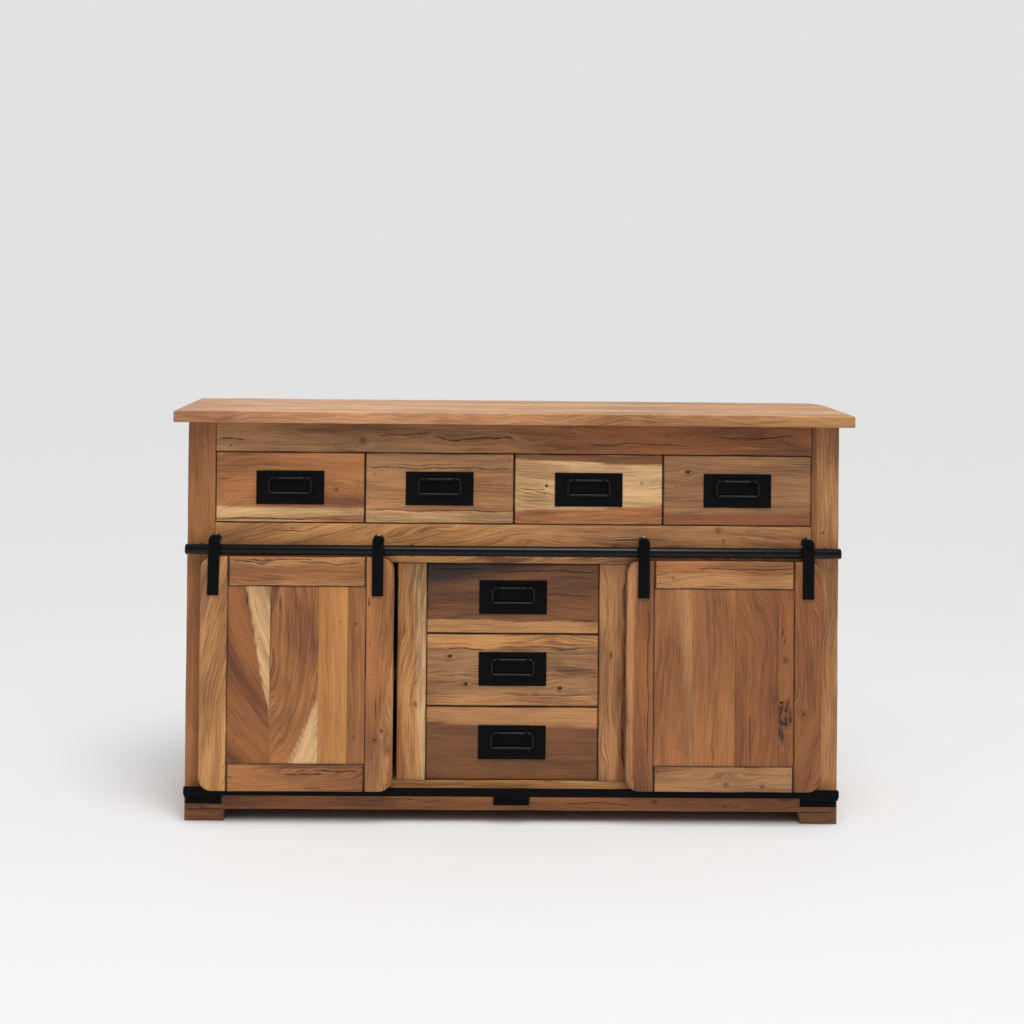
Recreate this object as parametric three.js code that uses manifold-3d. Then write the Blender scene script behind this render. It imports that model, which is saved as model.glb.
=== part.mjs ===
// Rustic sideboard in reclaimed hardwood with black steel hardware: four small drawers in a row,
// three drawers down the middle, and a sliding barn door on each side that hangs from a round rail.
// Millimetres, +Z up, the front faces -Y, and the origin is under the middle of the whole object.
import * as THREE from "three";
import { mergeVertices } from "three/addons/utils/BufferGeometryUtils.js";
import Module from "manifold-3d";

const wasm = await Module();
wasm.setup();

// ---- driving dimensions -------------------------------------------------------------------------

const topWidth = 1500;
const topDepth = 400;
const topThickness = 25;
const totalHeight = 905;
const bodyWidth = 1443;
const frontOverhang = 34; // of the top past the front of the body
const backOverhang = 8;
const wornCorner = { across: 30, deep: 130 }; // of the top's back right corner
const boltProud = 8; // the hanger bolts stand this far in front of the top's front edge

const postWidth = 61;
const postDepth = 45;
const railThickness = 22;
const panelThickness = 20;
const backThickness = 12;

const footHeight = 26;
const footSize = 87;
const plinthHeight = 40;
const bottomThickness = 25;

const friezeHeight = 66;
const topDrawerOpening = 157.5;
const deckThickness = 20;
const middleRailHeight = 85.5;

const centerOpening = 383; // between the two center stiles
const centerStileWidth = 64;
const centerStileDepth = 25;
const partitionThickness = 18;
const partitionSetIn = 14; // of the partition behind the stile's inner edge
const shelfThickness = 30;
const shelfBottom = 300;

const topDrawerCount = 4;
const centerDrawerCount = 3;
const centerDivisions = [414.5, 254]; // heights between the center drawers, from the top
const boxRaise = 17.5; // of a center drawer's box above the lower edge of its opening
const drawerGap = 3; // between neighbouring drawer fronts
const frontThickness = 20;
const boxWall = 12;
const boxBottom = 8;

const plateWidth = 150;
const plateHeight = 74.5;
const plateThickness = 2.25;
const bailWidth = 98;
const bailHeight = 38.5;
const bailRod = 6;
const bailAxisDrop = 16.5; // of the bail's top bar below the plate's top edge

const leftDoor = { x: [-687, -263], z: [75, 587], hangers: [-656.5, -298.5] };
const rightDoor = { x: [249, 679], z: [79, 583.5], hangers: [286, 648] };
const doorThickness = 25;
const doorCornerRadius = 30;
const doorStileWidth = 61;
const doorPanelZ = [135, 523]; // between the two rails

const railRadius = 11.5;
const railCenterHeight = 601;
const railLength = 1444;
const railStandOff = 22; // from the body's front to the rail's center line

const wheelRadius = 13.25;
const wheelTread = 9.75; // from the wheel's axis down to the top of the rail
const wheelWidth = 20;
const strapWidth = 25;
const strapThickness = 4;
const strapBottom = 503;

const guideHeight = 18;
const guideThickness = 6;
const guideBottom = 63;
const guideLength = 1441;

// ---- places that follow from them ---------------------------------------------------------------

const frontY = -(topDepth + boltProud) / 2 + boltProud; // the top's front edge
const bodyY = frontY + frontOverhang;
const backY = frontY + topDepth - backOverhang;
const panelBackY = backY - backThickness;
const halfBody = bodyWidth / 2;
const postInner = halfBody - postWidth;
const sideInner = halfBody - panelThickness;
const postBackY = bodyY + postDepth;

const topUnderside = totalHeight - topThickness;
const plinthTop = footHeight + plinthHeight;
const floorTop = plinthTop + bottomThickness; // the cupboards' floor
const friezeBottom = topUnderside - friezeHeight;
const deckTop = friezeBottom - topDrawerOpening;
const deckBottom = deckTop - deckThickness;
const middleRailBottom = deckTop - middleRailHeight;

const stileInner = centerOpening / 2;
const partitionInner = stileInner + partitionSetIn;
const partitionOuter = partitionInner + partitionThickness;

const railY = bodyY - railStandOff;
const doorFrontY = railY - doorThickness / 2;
const strapBackY = doorFrontY - 0.25;
const axleHeight = railCenterHeight + railRadius + wheelTread;

// ---- materials ----------------------------------------------------------------------------------

const wood = (color) => new THREE.MeshStandardMaterial({ color, roughness: 0.6, metalness: 0 });
const steel = new THREE.MeshStandardMaterial({ color: 0x17171a, roughness: 0.5, metalness: 0.6 });
const warmWood = wood(0xa9774c);
const paleWood = wood(0xc39a69);
const brownWood = wood(0x8a5f3d);
const innerWood = wood(0x9c7a55);

// ---- solids -------------------------------------------------------------------------------------

function toSolid(geometry) {
  const bare = geometry.clone();
  bare.deleteAttribute("normal");
  bare.deleteAttribute("uv");
  const merged = mergeVertices(bare, 1e-3);
  return new wasm.Manifold(
    new wasm.Mesh({
      numProp: 3,
      vertProperties: new Float32Array(merged.attributes.position.array),
      triVerts: new Uint32Array(merged.index.array),
    }),
  );
}

function toGeometry(solid) {
  const mesh = solid.getMesh();
  const geometry = new THREE.BufferGeometry();
  geometry.setAttribute("position", new THREE.BufferAttribute(mesh.vertProperties, 3));
  geometry.setIndex(new THREE.BufferAttribute(mesh.triVerts, 1));
  geometry.computeVertexNormals();
  return geometry;
}

const join = (...parts) => toGeometry(parts.map(toSolid).reduce((a, b) => a.add(b)));
const cut = (body, ...tools) =>
  toGeometry(tools.map(toSolid).reduce((a, b) => a.subtract(b), toSolid(body)));

// A board between two corners, given as [low, high] on each axis.
function board([x0, x1], [y0, y1], [z0, z1]) {
  const geometry = new THREE.BoxGeometry(x1 - x0, y1 - y0, z1 - z0);
  return geometry.translate((x0 + x1) / 2, (y0 + y1) / 2, (z0 + z1) / 2);
}

// A round bar between two points that differ along one axis.
function bar(radius, from, to, sides) {
  const start = new THREE.Vector3(...from);
  const span = new THREE.Vector3(...to).sub(start);
  const geometry = new THREE.CylinderGeometry(radius, radius, span.length(), sides);
  const turn = new THREE.Quaternion().setFromUnitVectors(
    new THREE.Vector3(0, 1, 0),
    span.clone().normalize(),
  );
  return geometry.applyQuaternion(turn).translate(...start.add(span.multiplyScalar(0.5)));
}

// An outline in X and Z, drawn from the front, given a thickness from y0 back to y1.
function upright(shape, [y0, y1], bevel = 0) {
  const geometry = new THREE.ExtrudeGeometry(shape, {
    depth: y1 - y0 - 2 * bevel,
    bevelEnabled: bevel > 0,
    bevelThickness: bevel,
    bevelSize: bevel,
    bevelOffset: -bevel,
    bevelSegments: 1,
    curveSegments: 4,
  });
  return geometry.rotateX(Math.PI / 2).translate(0, y1 - bevel, 0);
}

// An outline in X and Y, seen from above, given a height from z0 up to z1.
function slab(points, [z0, z1]) {
  const shape = new THREE.Shape(points.map(([x, y]) => new THREE.Vector2(x, y)));
  const geometry = new THREE.ExtrudeGeometry(shape, { depth: z1 - z0, bevelEnabled: false });
  return geometry.translate(0, 0, z0);
}

function roundedRectangle([x0, x1], [z0, z1], radius, target = new THREE.Shape()) {
  target.moveTo(x0 + radius, z0);
  target.lineTo(x1 - radius, z0);
  target.absarc(x1 - radius, z0 + radius, radius, -Math.PI / 2, 0, false);
  target.lineTo(x1, z1 - radius);
  target.absarc(x1 - radius, z1 - radius, radius, 0, Math.PI / 2, false);
  target.lineTo(x0 + radius, z1);
  target.absarc(x0 + radius, z1 - radius, radius, Math.PI / 2, Math.PI, false);
  target.lineTo(x0, z0 + radius);
  target.absarc(x0 + radius, z0 + radius, radius, Math.PI, 1.5 * Math.PI, false);
  return target;
}

const group = new THREE.Group();

function piece(name, material, geometry, parent = group) {
  const mesh = new THREE.Mesh(geometry, material);
  mesh.name = name;
  parent.add(mesh);
  return mesh;
}

// ---- carcass ------------------------------------------------------------------------------------

// A board from side panel to side panel that is notched round the two front posts.
function notchedSlab(heights) {
  return slab(
    [
      [-postInner, bodyY],
      [postInner, bodyY],
      [postInner, postBackY],
      [sideInner, postBackY],
      [sideInner, panelBackY],
      [-sideInner, panelBackY],
      [-sideInner, postBackY],
      [-postInner, postBackY],
    ],
    heights,
  );
}

// The top. Its back right corner is worn away in a long curve.
function makeTop() {
  const half = topWidth / 2;
  const backEdge = frontY + topDepth;
  const steps = 6;
  const curve = [];
  for (let i = 0; i <= steps; i++) {
    const turn = ((i / steps) * Math.PI) / 2;
    curve.push([
      half - wornCorner.across * (1 - Math.cos(turn)),
      backEdge - wornCorner.deep * (1 - Math.sin(turn)),
    ]);
  }
  const shape = [[-half, frontY], [half, frontY], ...curve, [-half, backEdge]];
  piece("top", warmWood, slab(shape, [topUnderside, totalHeight]));
}

function makeSides() {
  for (const [side, s] of [["left", -1], ["right", 1]]) {
    const span = (inner, outer) => [Math.min(s * inner, s * outer), Math.max(s * inner, s * outer)];
    const postX = span(postInner, halfBody);
    const panelX = span(sideInner, halfBody);
    const footX = span(halfBody - footSize, halfBody);
    piece(`${side}_post`, warmWood, board(postX, [bodyY, postBackY], [plinthTop, topUnderside]));
    piece(
      `${side}_side_panel`,
      brownWood,
      board(panelX, [postBackY, backY], [footHeight, topUnderside]),
    );
    piece(`${side}_front_foot`, brownWood, board(footX, [bodyY, bodyY + footSize], [0, footHeight]));
    piece(`${side}_back_foot`, brownWood, board(footX, [backY - footSize, backY], [0, footHeight]));
  }
}

function makeFrontRails() {
  piece(
    "frieze_rail",
    brownWood,
    board([-postInner, postInner], [bodyY, bodyY + railThickness], [friezeBottom, topUnderside]),
  );
  piece(
    "plinth_rail",
    brownWood,
    board([-halfBody, halfBody], [bodyY, postBackY], [footHeight, plinthTop]),
  );
}

// The deck under the small drawers, with the front rail glued to it and the strips that guide the boxes.
function makeDrawerDeck(pitch) {
  const stripWidth = 20;
  const stripHeight = 16;
  const deck = notchedSlab([deckBottom, deckTop]);
  const rail = board(
    [-postInner, postInner],
    [bodyY, bodyY + railThickness],
    [middleRailBottom, deckTop],
  );
  const guides = [];
  for (let i = 0; i <= topDrawerCount; i++) {
    const x = -postInner + i * pitch;
    guides.push(
      board(
        [x - stripWidth / 2, x + stripWidth / 2],
        [postBackY + 2, panelBackY - 34],
        [deckTop - 1, deckTop + stripHeight],
      ),
    );
  }
  piece("drawer_deck", paleWood, join(deck, rail, ...guides));
}

function makeFloorAndBack() {
  piece("bottom_board", paleWood, notchedSlab([plinthTop, floorTop]));
  piece(
    "back_panel",
    innerWood,
    board([-sideInner, sideInner], [panelBackY, backY], [footHeight, topUnderside]),
  );
}

// Each wall beside the center drawers is a stile with a partition behind it, and carries the runners.
function makeCenterWalls(drawerFloors) {
  const runnerHeight = 12;
  const runnerInner = stileInner - 15.5;
  const runnerLength = 297;
  const stileBackY = bodyY + centerStileDepth;
  for (const [side, s] of [["left", -1], ["right", 1]]) {
    const span = (inner, outer) => [Math.min(s * inner, s * outer), Math.max(s * inner, s * outer)];
    const stile = board(
      span(stileInner, stileInner + centerStileWidth),
      [bodyY, stileBackY],
      [floorTop, middleRailBottom],
    );
    const partition = board(
      span(partitionInner, partitionOuter),
      [stileBackY - 1, panelBackY],
      [floorTop, deckBottom],
    );
    const clearOfRail = board(
      span(partitionInner - 5, partitionOuter + 5),
      [bodyY, bodyY + railThickness],
      [middleRailBottom, deckBottom + 5],
    );
    const runners = drawerFloors.map((z) =>
      board(
        span(runnerInner, partitionInner + 1),
        [stileBackY, stileBackY + runnerLength],
        [z - runnerHeight - 1, z - 1],
      ),
    );
    const wall = join(stile, partition, ...runners);
    piece(`${side}_center_wall`, paleWood, cut(wall, clearOfRail));
  }
}

function makeShelves() {
  for (const [side, s] of [["left", -1], ["right", 1]]) {
    const ends = [s * sideInner, s * partitionOuter].sort((a, b) => a - b);
    piece(
      `${side}_shelf`,
      innerWood,
      board(ends, [postBackY + 2, panelBackY], [shelfBottom, shelfBottom + shelfThickness]),
    );
  }
}

// ---- drawers ------------------------------------------------------------------------------------

// A pull plate with four screw heads and two lugs that hold the bail's top bar. Its back is at y = 0.
function pullPlate() {
  const halfWidth = plateWidth / 2;
  const halfHeight = plateHeight / 2;
  const axisZ = halfHeight - bailAxisDrop;
  const axisY = -plateThickness - 1 - bailRod / 2;
  const lugRadius = 5.5;
  const lugHalfWidth = 4;
  const lugX = 33;
  const screwInset = 12;
  const parts = [board([-halfWidth, halfWidth], [-plateThickness, 0], [-halfHeight, halfHeight])];
  for (const side of [-1, 1]) {
    const from = [side * lugX - lugHalfWidth, axisY, axisZ];
    const to = [side * lugX + lugHalfWidth, axisY, axisZ];
    parts.push(bar(lugRadius, from, to, 12));
    parts.push(board([from[0], to[0]], [axisY, -1], [axisZ - lugRadius, axisZ + lugRadius]));
    for (const end of [-1, 1]) {
      const x = side * (halfWidth - screwInset);
      const z = end * (halfHeight - screwInset);
      parts.push(bar(3.5, [x, -plateThickness - 0.75, z], [x, -1, z], 8));
    }
  }
  const bore = bar(3.75, [-lugX - 10, axisY, axisZ], [lugX + 10, axisY, axisZ], 16);
  return cut(join(...parts), bore);
}

// A closed ring of round rod, hanging flat in front of the plate.
function pullBail() {
  const half = bailWidth / 2;
  const top = plateHeight / 2 - bailAxisDrop + bailRod / 2;
  const bottom = top - bailHeight;
  const ring = roundedRectangle([-half, half], [bottom, top], 9);
  ring.holes.push(
    roundedRectangle(
      [-half + bailRod, half - bailRod],
      [bottom + bailRod, top - bailRod],
      3,
      new THREE.Path(),
    ),
  );
  return upright(ring, [-plateThickness - 1 - bailRod, -plateThickness - 1], 1.75);
}

// A drawer: a thick front, a plain box behind it, and a pull. The underside of the box is at floorZ.
function makeDrawer({ name, x, width, frontY: y0, frontZ, boxHalfWidth, floorZ, boxHeight, pullZ }) {
  const boxFrontY = y0 + frontThickness;
  const boxBackY = panelBackY - 22;
  const drawer = new THREE.Group();
  drawer.position.set(x, 0, 0);
  group.add(drawer);
  piece(
    `${name}_front`,
    paleWood,
    board([-width / 2, width / 2], [y0, boxFrontY], frontZ),
    drawer,
  );
  const outer = board(
    [-boxHalfWidth, boxHalfWidth],
    [boxFrontY, boxBackY],
    [floorZ, floorZ + boxHeight],
  );
  const inner = board(
    [-boxHalfWidth + boxWall, boxHalfWidth - boxWall],
    [boxFrontY + boxWall, boxBackY - boxWall],
    [floorZ + boxBottom, floorZ + boxHeight + 10],
  );
  piece(`${name}_box`, innerWood, cut(outer, inner), drawer);
  piece(`${name}_pull_plate`, steel, pullPlate().translate(0, y0, pullZ), drawer);
  piece(`${name}_pull_bail`, steel, pullBail().translate(0, y0, pullZ), drawer);
}

function makeTopDrawers(pitch) {
  const clearance = 2;
  const frontZ = [deckTop + clearance, friezeBottom - clearance];
  for (let i = 0; i < topDrawerCount; i++) {
    makeDrawer({
      name: `top_drawer_${i + 1}`,
      x: -postInner + (i + 0.5) * pitch,
      width: pitch - drawerGap,
      frontY: bodyY,
      frontZ,
      boxHalfWidth: pitch / 2 - 12.125,
      floorZ: deckTop + 1,
      boxHeight: 125,
      pullZ: (frontZ[0] + frontZ[1]) / 2,
    });
  }
}

// The center drawers are numbered from the top, and their fronts sit a little behind the stiles so
// that a door can pass in front of the pulls.
function makeCenterDrawers(fronts, drawerFloors) {
  const setBack = 4;
  const pullRaise = 3;
  fronts.forEach(([z0, z1], i) =>
    makeDrawer({
      name: `center_drawer_${i + 1}`,
      x: 0,
      width: centerOpening - drawerGap,
      frontY: bodyY + setBack,
      frontZ: [z0, z1],
      boxHalfWidth: stileInner - 3.5,
      floorZ: drawerFloors[i],
      boxHeight: 115,
      pullZ: (z0 + z1) / 2 + pullRaise,
    }),
  );
}

// ---- sliding doors ------------------------------------------------------------------------------

// The door's frame, rounded at its corners, with a groove underneath that runs on the guide bar.
function doorFrame([x0, x1], [z0, z1]) {
  const grooveHalfWidth = guideThickness / 2 + 1.5;
  const grooveTop = guideBottom + guideHeight + 3;
  const outline = roundedRectangle([x0, x1], [z0, z1], doorCornerRadius);
  const frame = upright(outline, [doorFrontY, doorFrontY + doorThickness]);
  const hole = board(
    [x0 + doorStileWidth, x1 - doorStileWidth],
    [doorFrontY - 5, doorFrontY + doorThickness + 5],
    doorPanelZ,
  );
  const groove = board(
    [x0 - 5, x1 + 5],
    [railY - grooveHalfWidth, railY + grooveHalfWidth],
    [z0 - 5, grooveTop],
  );
  return cut(frame, hole, groove);
}

// The boarded panel in the frame, let in a little at the front and the back.
function doorPanel([x0, x1]) {
  const letIn = 2;
  const shrinkGap = 0.5;
  return board(
    [x0 + doorStileWidth + shrinkGap, x1 - doorStileWidth - shrinkGap],
    [doorFrontY + letIn, doorFrontY + doorThickness - letIn],
    [doorPanelZ[0] + shrinkGap, doorPanelZ[1] - shrinkGap],
  );
}

// A flat strap with a round top end, the axle bolt through it and the bolt's head.
function hangerStrap(x) {
  const radius = strapWidth / 2;
  const shape = new THREE.Shape();
  shape.moveTo(x - radius, strapBottom);
  shape.lineTo(x + radius, strapBottom);
  shape.lineTo(x + radius, axleHeight);
  shape.absarc(x, axleHeight, radius, 0, Math.PI, false);
  const strapFrontY = strapBackY - strapThickness;
  const strap = upright(shape, [strapFrontY, strapBackY]);
  const headFrontY = frontY - boltProud;
  const head = bar(6.5, [x, headFrontY, axleHeight], [x, strapFrontY + 1, axleHeight], 12);
  const axleBackY = railY + wheelWidth / 2 + 3;
  const axle = bar(4, [x, strapFrontY + 1, axleHeight], [x, axleBackY, axleHeight], 12);
  const spacerBackY = railY - wheelWidth / 2 - 0.5;
  const spacer = bar(7, [x, strapBackY - 1, axleHeight], [x, spacerBackY, axleHeight], 12);
  const nutFrontY = railY + wheelWidth / 2 + 0.5;
  const nut = bar(6.5, [x, nutFrontY, axleHeight], [x, axleBackY, axleHeight], 6);
  const screwHeads = [25, 60].map((up) =>
    bar(4, [x, strapFrontY - 1.5, strapBottom + up], [x, strapFrontY + 1, strapBottom + up], 10),
  );
  return join(strap, head, axle, spacer, nut, ...screwHeads);
}

// A wheel that turns on the axle, with a hollow tread that fits over the round rail.
function hangerWheel() {
  const half = wheelWidth / 2;
  const boreRadius = 4.25;
  const treadRadius = railRadius + 0.75;
  const axisToRail = wheelTread + railRadius;
  const profile = [new THREE.Vector2(boreRadius, -half), new THREE.Vector2(wheelRadius, -half)];
  const steps = 4;
  const grooveHalf = Math.sqrt(treadRadius ** 2 - (axisToRail - wheelRadius) ** 2);
  for (let i = 0; i <= steps; i++) {
    const along = -grooveHalf + (2 * grooveHalf * i) / steps;
    profile.push(new THREE.Vector2(axisToRail - Math.sqrt(treadRadius ** 2 - along ** 2), along));
  }
  profile.push(new THREE.Vector2(wheelRadius, half), new THREE.Vector2(boreRadius, half));
  profile.push(profile[0].clone());
  return new THREE.LatheGeometry(profile, 20);
}

function makeDoor(name, { x: ends, z: heights, hangers }) {
  piece(`${name}_frame`, warmWood, doorFrame(ends, heights));
  piece(`${name}_panel`, paleWood, doorPanel(ends));
  hangers.forEach((x, i) => {
    piece(`${name}_hanger_${i + 1}`, steel, hangerStrap(x));
    const wheel = piece(`${name}_wheel_${i + 1}`, steel, hangerWheel());
    wheel.position.set(x, railY, axleHeight);
  });
}

// ---- door track ---------------------------------------------------------------------------------

function makeTrackRail() {
  const half = railLength / 2;
  const endCap = 2;
  const tube = bar(
    railRadius,
    [-half + endCap, railY, railCenterHeight],
    [half - endCap, railY, railCenterHeight],
    24,
  );
  const caps = [-1, 1].map((s) =>
    bar(
      railRadius - 2,
      [s * (half - endCap - 3), railY, railCenterHeight],
      [s * half, railY, railCenterHeight],
      24,
    ),
  );
  const standOffs = [-690, -225, 225, 690].map((x) =>
    bar(6, [x, railY, railCenterHeight], [x, bodyY, railCenterHeight], 12),
  );
  piece("track_rail", steel, join(tube, ...caps, ...standOffs));
}

// The flat bar that keeps the doors' lower edges in line, on three brackets screwed to the plinth.
function makeGuideBar() {
  const bracketWidth = 79;
  const webThickness = 4;
  const flangeBottom = 38.5;
  const half = guideLength / 2;
  const barFrontY = railY - guideThickness / 2;
  const outline = roundedRectangle(
    [-half, half],
    [guideBottom, guideBottom + guideHeight],
    guideHeight / 2 - 1,
  );
  const parts = [upright(outline, [barFrontY, barFrontY + guideThickness])];
  for (const x of [-679, 0, 679]) {
    const ends = [x - bracketWidth / 2, x + bracketWidth / 2];
    parts.push(board(ends, [barFrontY, bodyY], [guideBottom - webThickness, guideBottom + 1]));
    parts.push(board(ends, [bodyY - webThickness, bodyY], [flangeBottom, guideBottom]));
    for (const offset of [-27, 0, 27]) {
      const z = (flangeBottom + guideBottom - webThickness) / 2;
      parts.push(
        bar(4, [x + offset, bodyY - webThickness - 1.5, z], [x + offset, bodyY - 1, z], 10),
      );
    }
  }
  piece("guide_bar", steel, join(...parts));
}

// ---- assembly -----------------------------------------------------------------------------------

const topPitch = (2 * postInner) / topDrawerCount;
const centerEdges = [middleRailBottom, ...centerDivisions, floorTop];
const centerFronts = [];
const centerFloors = [];
for (let i = 0; i < centerDrawerCount; i++) {
  const bottom = centerEdges[i + 1];
  centerFronts.push([bottom + drawerGap / 2, centerEdges[i] - drawerGap / 2]);
  centerFloors.push(bottom + boxRaise);
}

makeTop();
makeSides();
makeFrontRails();
makeDrawerDeck(topPitch);
makeFloorAndBack();
makeCenterWalls(centerFloors);
makeShelves();
makeTopDrawers(topPitch);
makeCenterDrawers(centerFronts, centerFloors);
makeDoor("left_door", leftDoor);
makeDoor("right_door", rightDoor);
makeTrackRail();
makeGuideBar();

export default group;
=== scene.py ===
"""Looks for the rustic sideboard: reclaimed boards with grain, knots and cracks, and black steel hardware.

Every wooden piece is a set of boards built by board(), whose grain, colour and damage are written to
the mesh as attributes, so that one wood material serves them all. The damage marks hold dirt and painted
shade in the boards' edges, and the colour holds a painted sheen on the top's upper face. Metres, on the
frame's own axes, except that the sizes of knots, cracks, holes and soft sides in the looks are in
millimetres.
"""

import math
from functools import cache

import bmesh
import bpy
import numpy as np
from mathutils import Matrix, Vector


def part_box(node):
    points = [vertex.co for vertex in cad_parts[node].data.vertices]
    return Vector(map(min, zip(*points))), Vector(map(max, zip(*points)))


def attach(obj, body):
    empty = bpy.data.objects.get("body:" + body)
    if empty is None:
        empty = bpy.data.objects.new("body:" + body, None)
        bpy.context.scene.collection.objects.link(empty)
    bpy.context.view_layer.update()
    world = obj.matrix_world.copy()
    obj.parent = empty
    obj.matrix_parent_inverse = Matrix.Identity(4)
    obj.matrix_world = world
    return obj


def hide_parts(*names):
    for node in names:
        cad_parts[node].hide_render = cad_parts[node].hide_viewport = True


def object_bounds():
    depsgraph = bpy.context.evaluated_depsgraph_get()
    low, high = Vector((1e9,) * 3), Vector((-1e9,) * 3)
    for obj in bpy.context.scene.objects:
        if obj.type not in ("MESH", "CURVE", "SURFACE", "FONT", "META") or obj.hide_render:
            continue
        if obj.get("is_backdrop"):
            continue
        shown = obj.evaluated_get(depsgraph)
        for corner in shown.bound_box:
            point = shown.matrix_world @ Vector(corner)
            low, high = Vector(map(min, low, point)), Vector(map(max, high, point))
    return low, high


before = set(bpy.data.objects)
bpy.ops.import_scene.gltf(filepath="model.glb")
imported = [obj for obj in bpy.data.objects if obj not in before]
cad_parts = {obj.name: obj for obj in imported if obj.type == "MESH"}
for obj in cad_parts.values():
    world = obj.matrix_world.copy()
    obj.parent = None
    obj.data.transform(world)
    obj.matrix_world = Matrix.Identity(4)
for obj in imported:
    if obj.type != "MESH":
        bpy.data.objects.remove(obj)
cad_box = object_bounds()

MM = 0.001
AXES = {"x": 0, "y": 1, "z": 2}
PIN = 1.3 * MM  # the radius of a nail's or a beetle's hole
FINEST = 0.28 * MM  # the least distance between two lines of a board's grid
CRACK_DEPTH = 2.4 * MM
CRACK_FADE = 12 * MM  # the length over which a crack runs out at each end
HOLE_DEPTH = 3.0 * MM
KNOT_DEPTH = 0.5 * MM


# ---- colours ------------------------------------------------------------------------------------

def linear(red, green, blue):
    """A screen colour from 0 to 255 as the linear values that shaders use."""
    return np.array([((c / 255 + 0.055) / 1.055) ** 2.4 for c in (red, green, blue)])


# The kinds of board that the piece is put together from, as seen in even daylight.
WOODS = {
    "honey": linear(188, 132, 76),
    "rose": linear(187, 131, 90),
    "tan": linear(172, 120, 73),
    "sapwood": linear(200, 158, 110),
    "amber": linear(190, 130, 67),
    "chestnut": linear(160, 102, 54),
    "russet": linear(138, 82, 38),
    "greytan": linear(154, 109, 67),
    "umber": linear(117, 72, 34),
    "near_black": linear(46, 22, 10),
}


# ---- boards -------------------------------------------------------------------------------------

def wobbler(rng, wavelength):
    """A smooth random line of about unit height, as a function of the distance along it."""
    phases = rng.uniform(0, 2 * math.pi, 4)

    def wobble(t):
        waves = zip((1, 1.83, 3.1, 5.7), phases)
        return sum(np.sin(2 * math.pi * k * t / wavelength + p) / k for k, p in waves) / 1.6

    return wobble


def grid_lines(length, step, radius, extra=()):
    """Where the grid's lines cross one axis: even steps, the rounded edges, and any extra places."""
    even = np.linspace(0, length, max(2, round(length / step)) + 1)
    edge = np.array([0, 0.3, 1.0]) * radius
    lines = np.concatenate([even, edge, length - edge, np.array(list(extra), float)])
    lines = np.sort(lines[(lines >= 0) & (lines <= length)])
    kept = [lines[0]]
    for line in lines[1:]:
        if line - kept[-1] > FINEST:
            kept.append(line)
    kept[-1] = length
    return np.array(kept)


def box_surface(lines):
    """The outer points and quads of the block whose grid lines are given on each axis."""
    counts = [len(axis) for axis in lines]
    index = np.arange(np.prod(counts)).reshape(counts)
    quads = []
    for axis in range(3):
        for end in (0, -1):
            side = np.take(index, end, axis=axis)
            a, b, c, d = side[:-1, :-1], side[1:, :-1], side[1:, 1:], side[:-1, 1:]
            ring = (a, b, c, d) if (end == -1) == (axis != 1) else (d, c, b, a)
            quads.append(np.stack(ring, -1).reshape(-1, 4))
    quads = np.concatenate(quads)
    used, quads = np.unique(quads, return_inverse=True)
    grid = np.stack(np.meshgrid(*lines, indexing="ij"), -1).reshape(-1, 3)
    return grid[used], quads.reshape(-1, 4)


def smooth_step(x, low, high):
    t = np.clip((x - low) / (high - low), 0, 1)
    return t * t * (3 - 2 * t)


def at_both_ends(value):
    return value if isinstance(value, tuple) else (value, value)


def in_metres(marks):
    """Knots, cracks or holes with their size, which comes last, in metres instead of millimetres."""
    return [(*place, size * MM) for *place, size in marks]


def board_surface(size, step, round_edge, bands, knots, cracks, holes, pins):
    """The points and quads of a board's block, with more of the grid's lines where its details are."""
    length, width, depth = size
    extra_u, extra_v = [], []
    spread = np.array([-1.6, -1.0, -0.6, -0.25, 0, 0.25, 0.6, 1.0, 1.6])
    for at, across, radius in [*knots, *holes]:
        extra_u += list(at * length + spread * radius)
        extra_v += list(across * width + spread * radius)
    for at, across in pins:
        extra_u += list(at * length + PIN * spread[1:-1:2])
        extra_v += list(across * width + PIN * spread[1:-1:2])
    for _, _, across, wide in cracks:
        extra_v += list(across * width + np.array([-1.8, -0.8, -0.3, 0.3, 0.8, 1.8]) * wide)
    for start, end, *_ in bands:
        for edge in (start, end):
            if not isinstance(edge, tuple) and 0 < edge < 1:
                extra_v += [edge * width - 0.6 * MM, edge * width + 0.6 * MM]
    lines = [
        grid_lines(length, step, round_edge, extra_u),
        grid_lines(width, min(step, width / 5), round_edge, extra_v),
        grid_lines(depth, depth / 2, round_edge),
    ]
    return box_surface(lines)


def off_the_ends(u, length):
    """0 at a board's two ends and 1 a little way in, so that its end faces stay flat."""
    return smooth_step(np.minimum(u, length - u), 0.2 * MM, 2.5 * MM)


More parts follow.
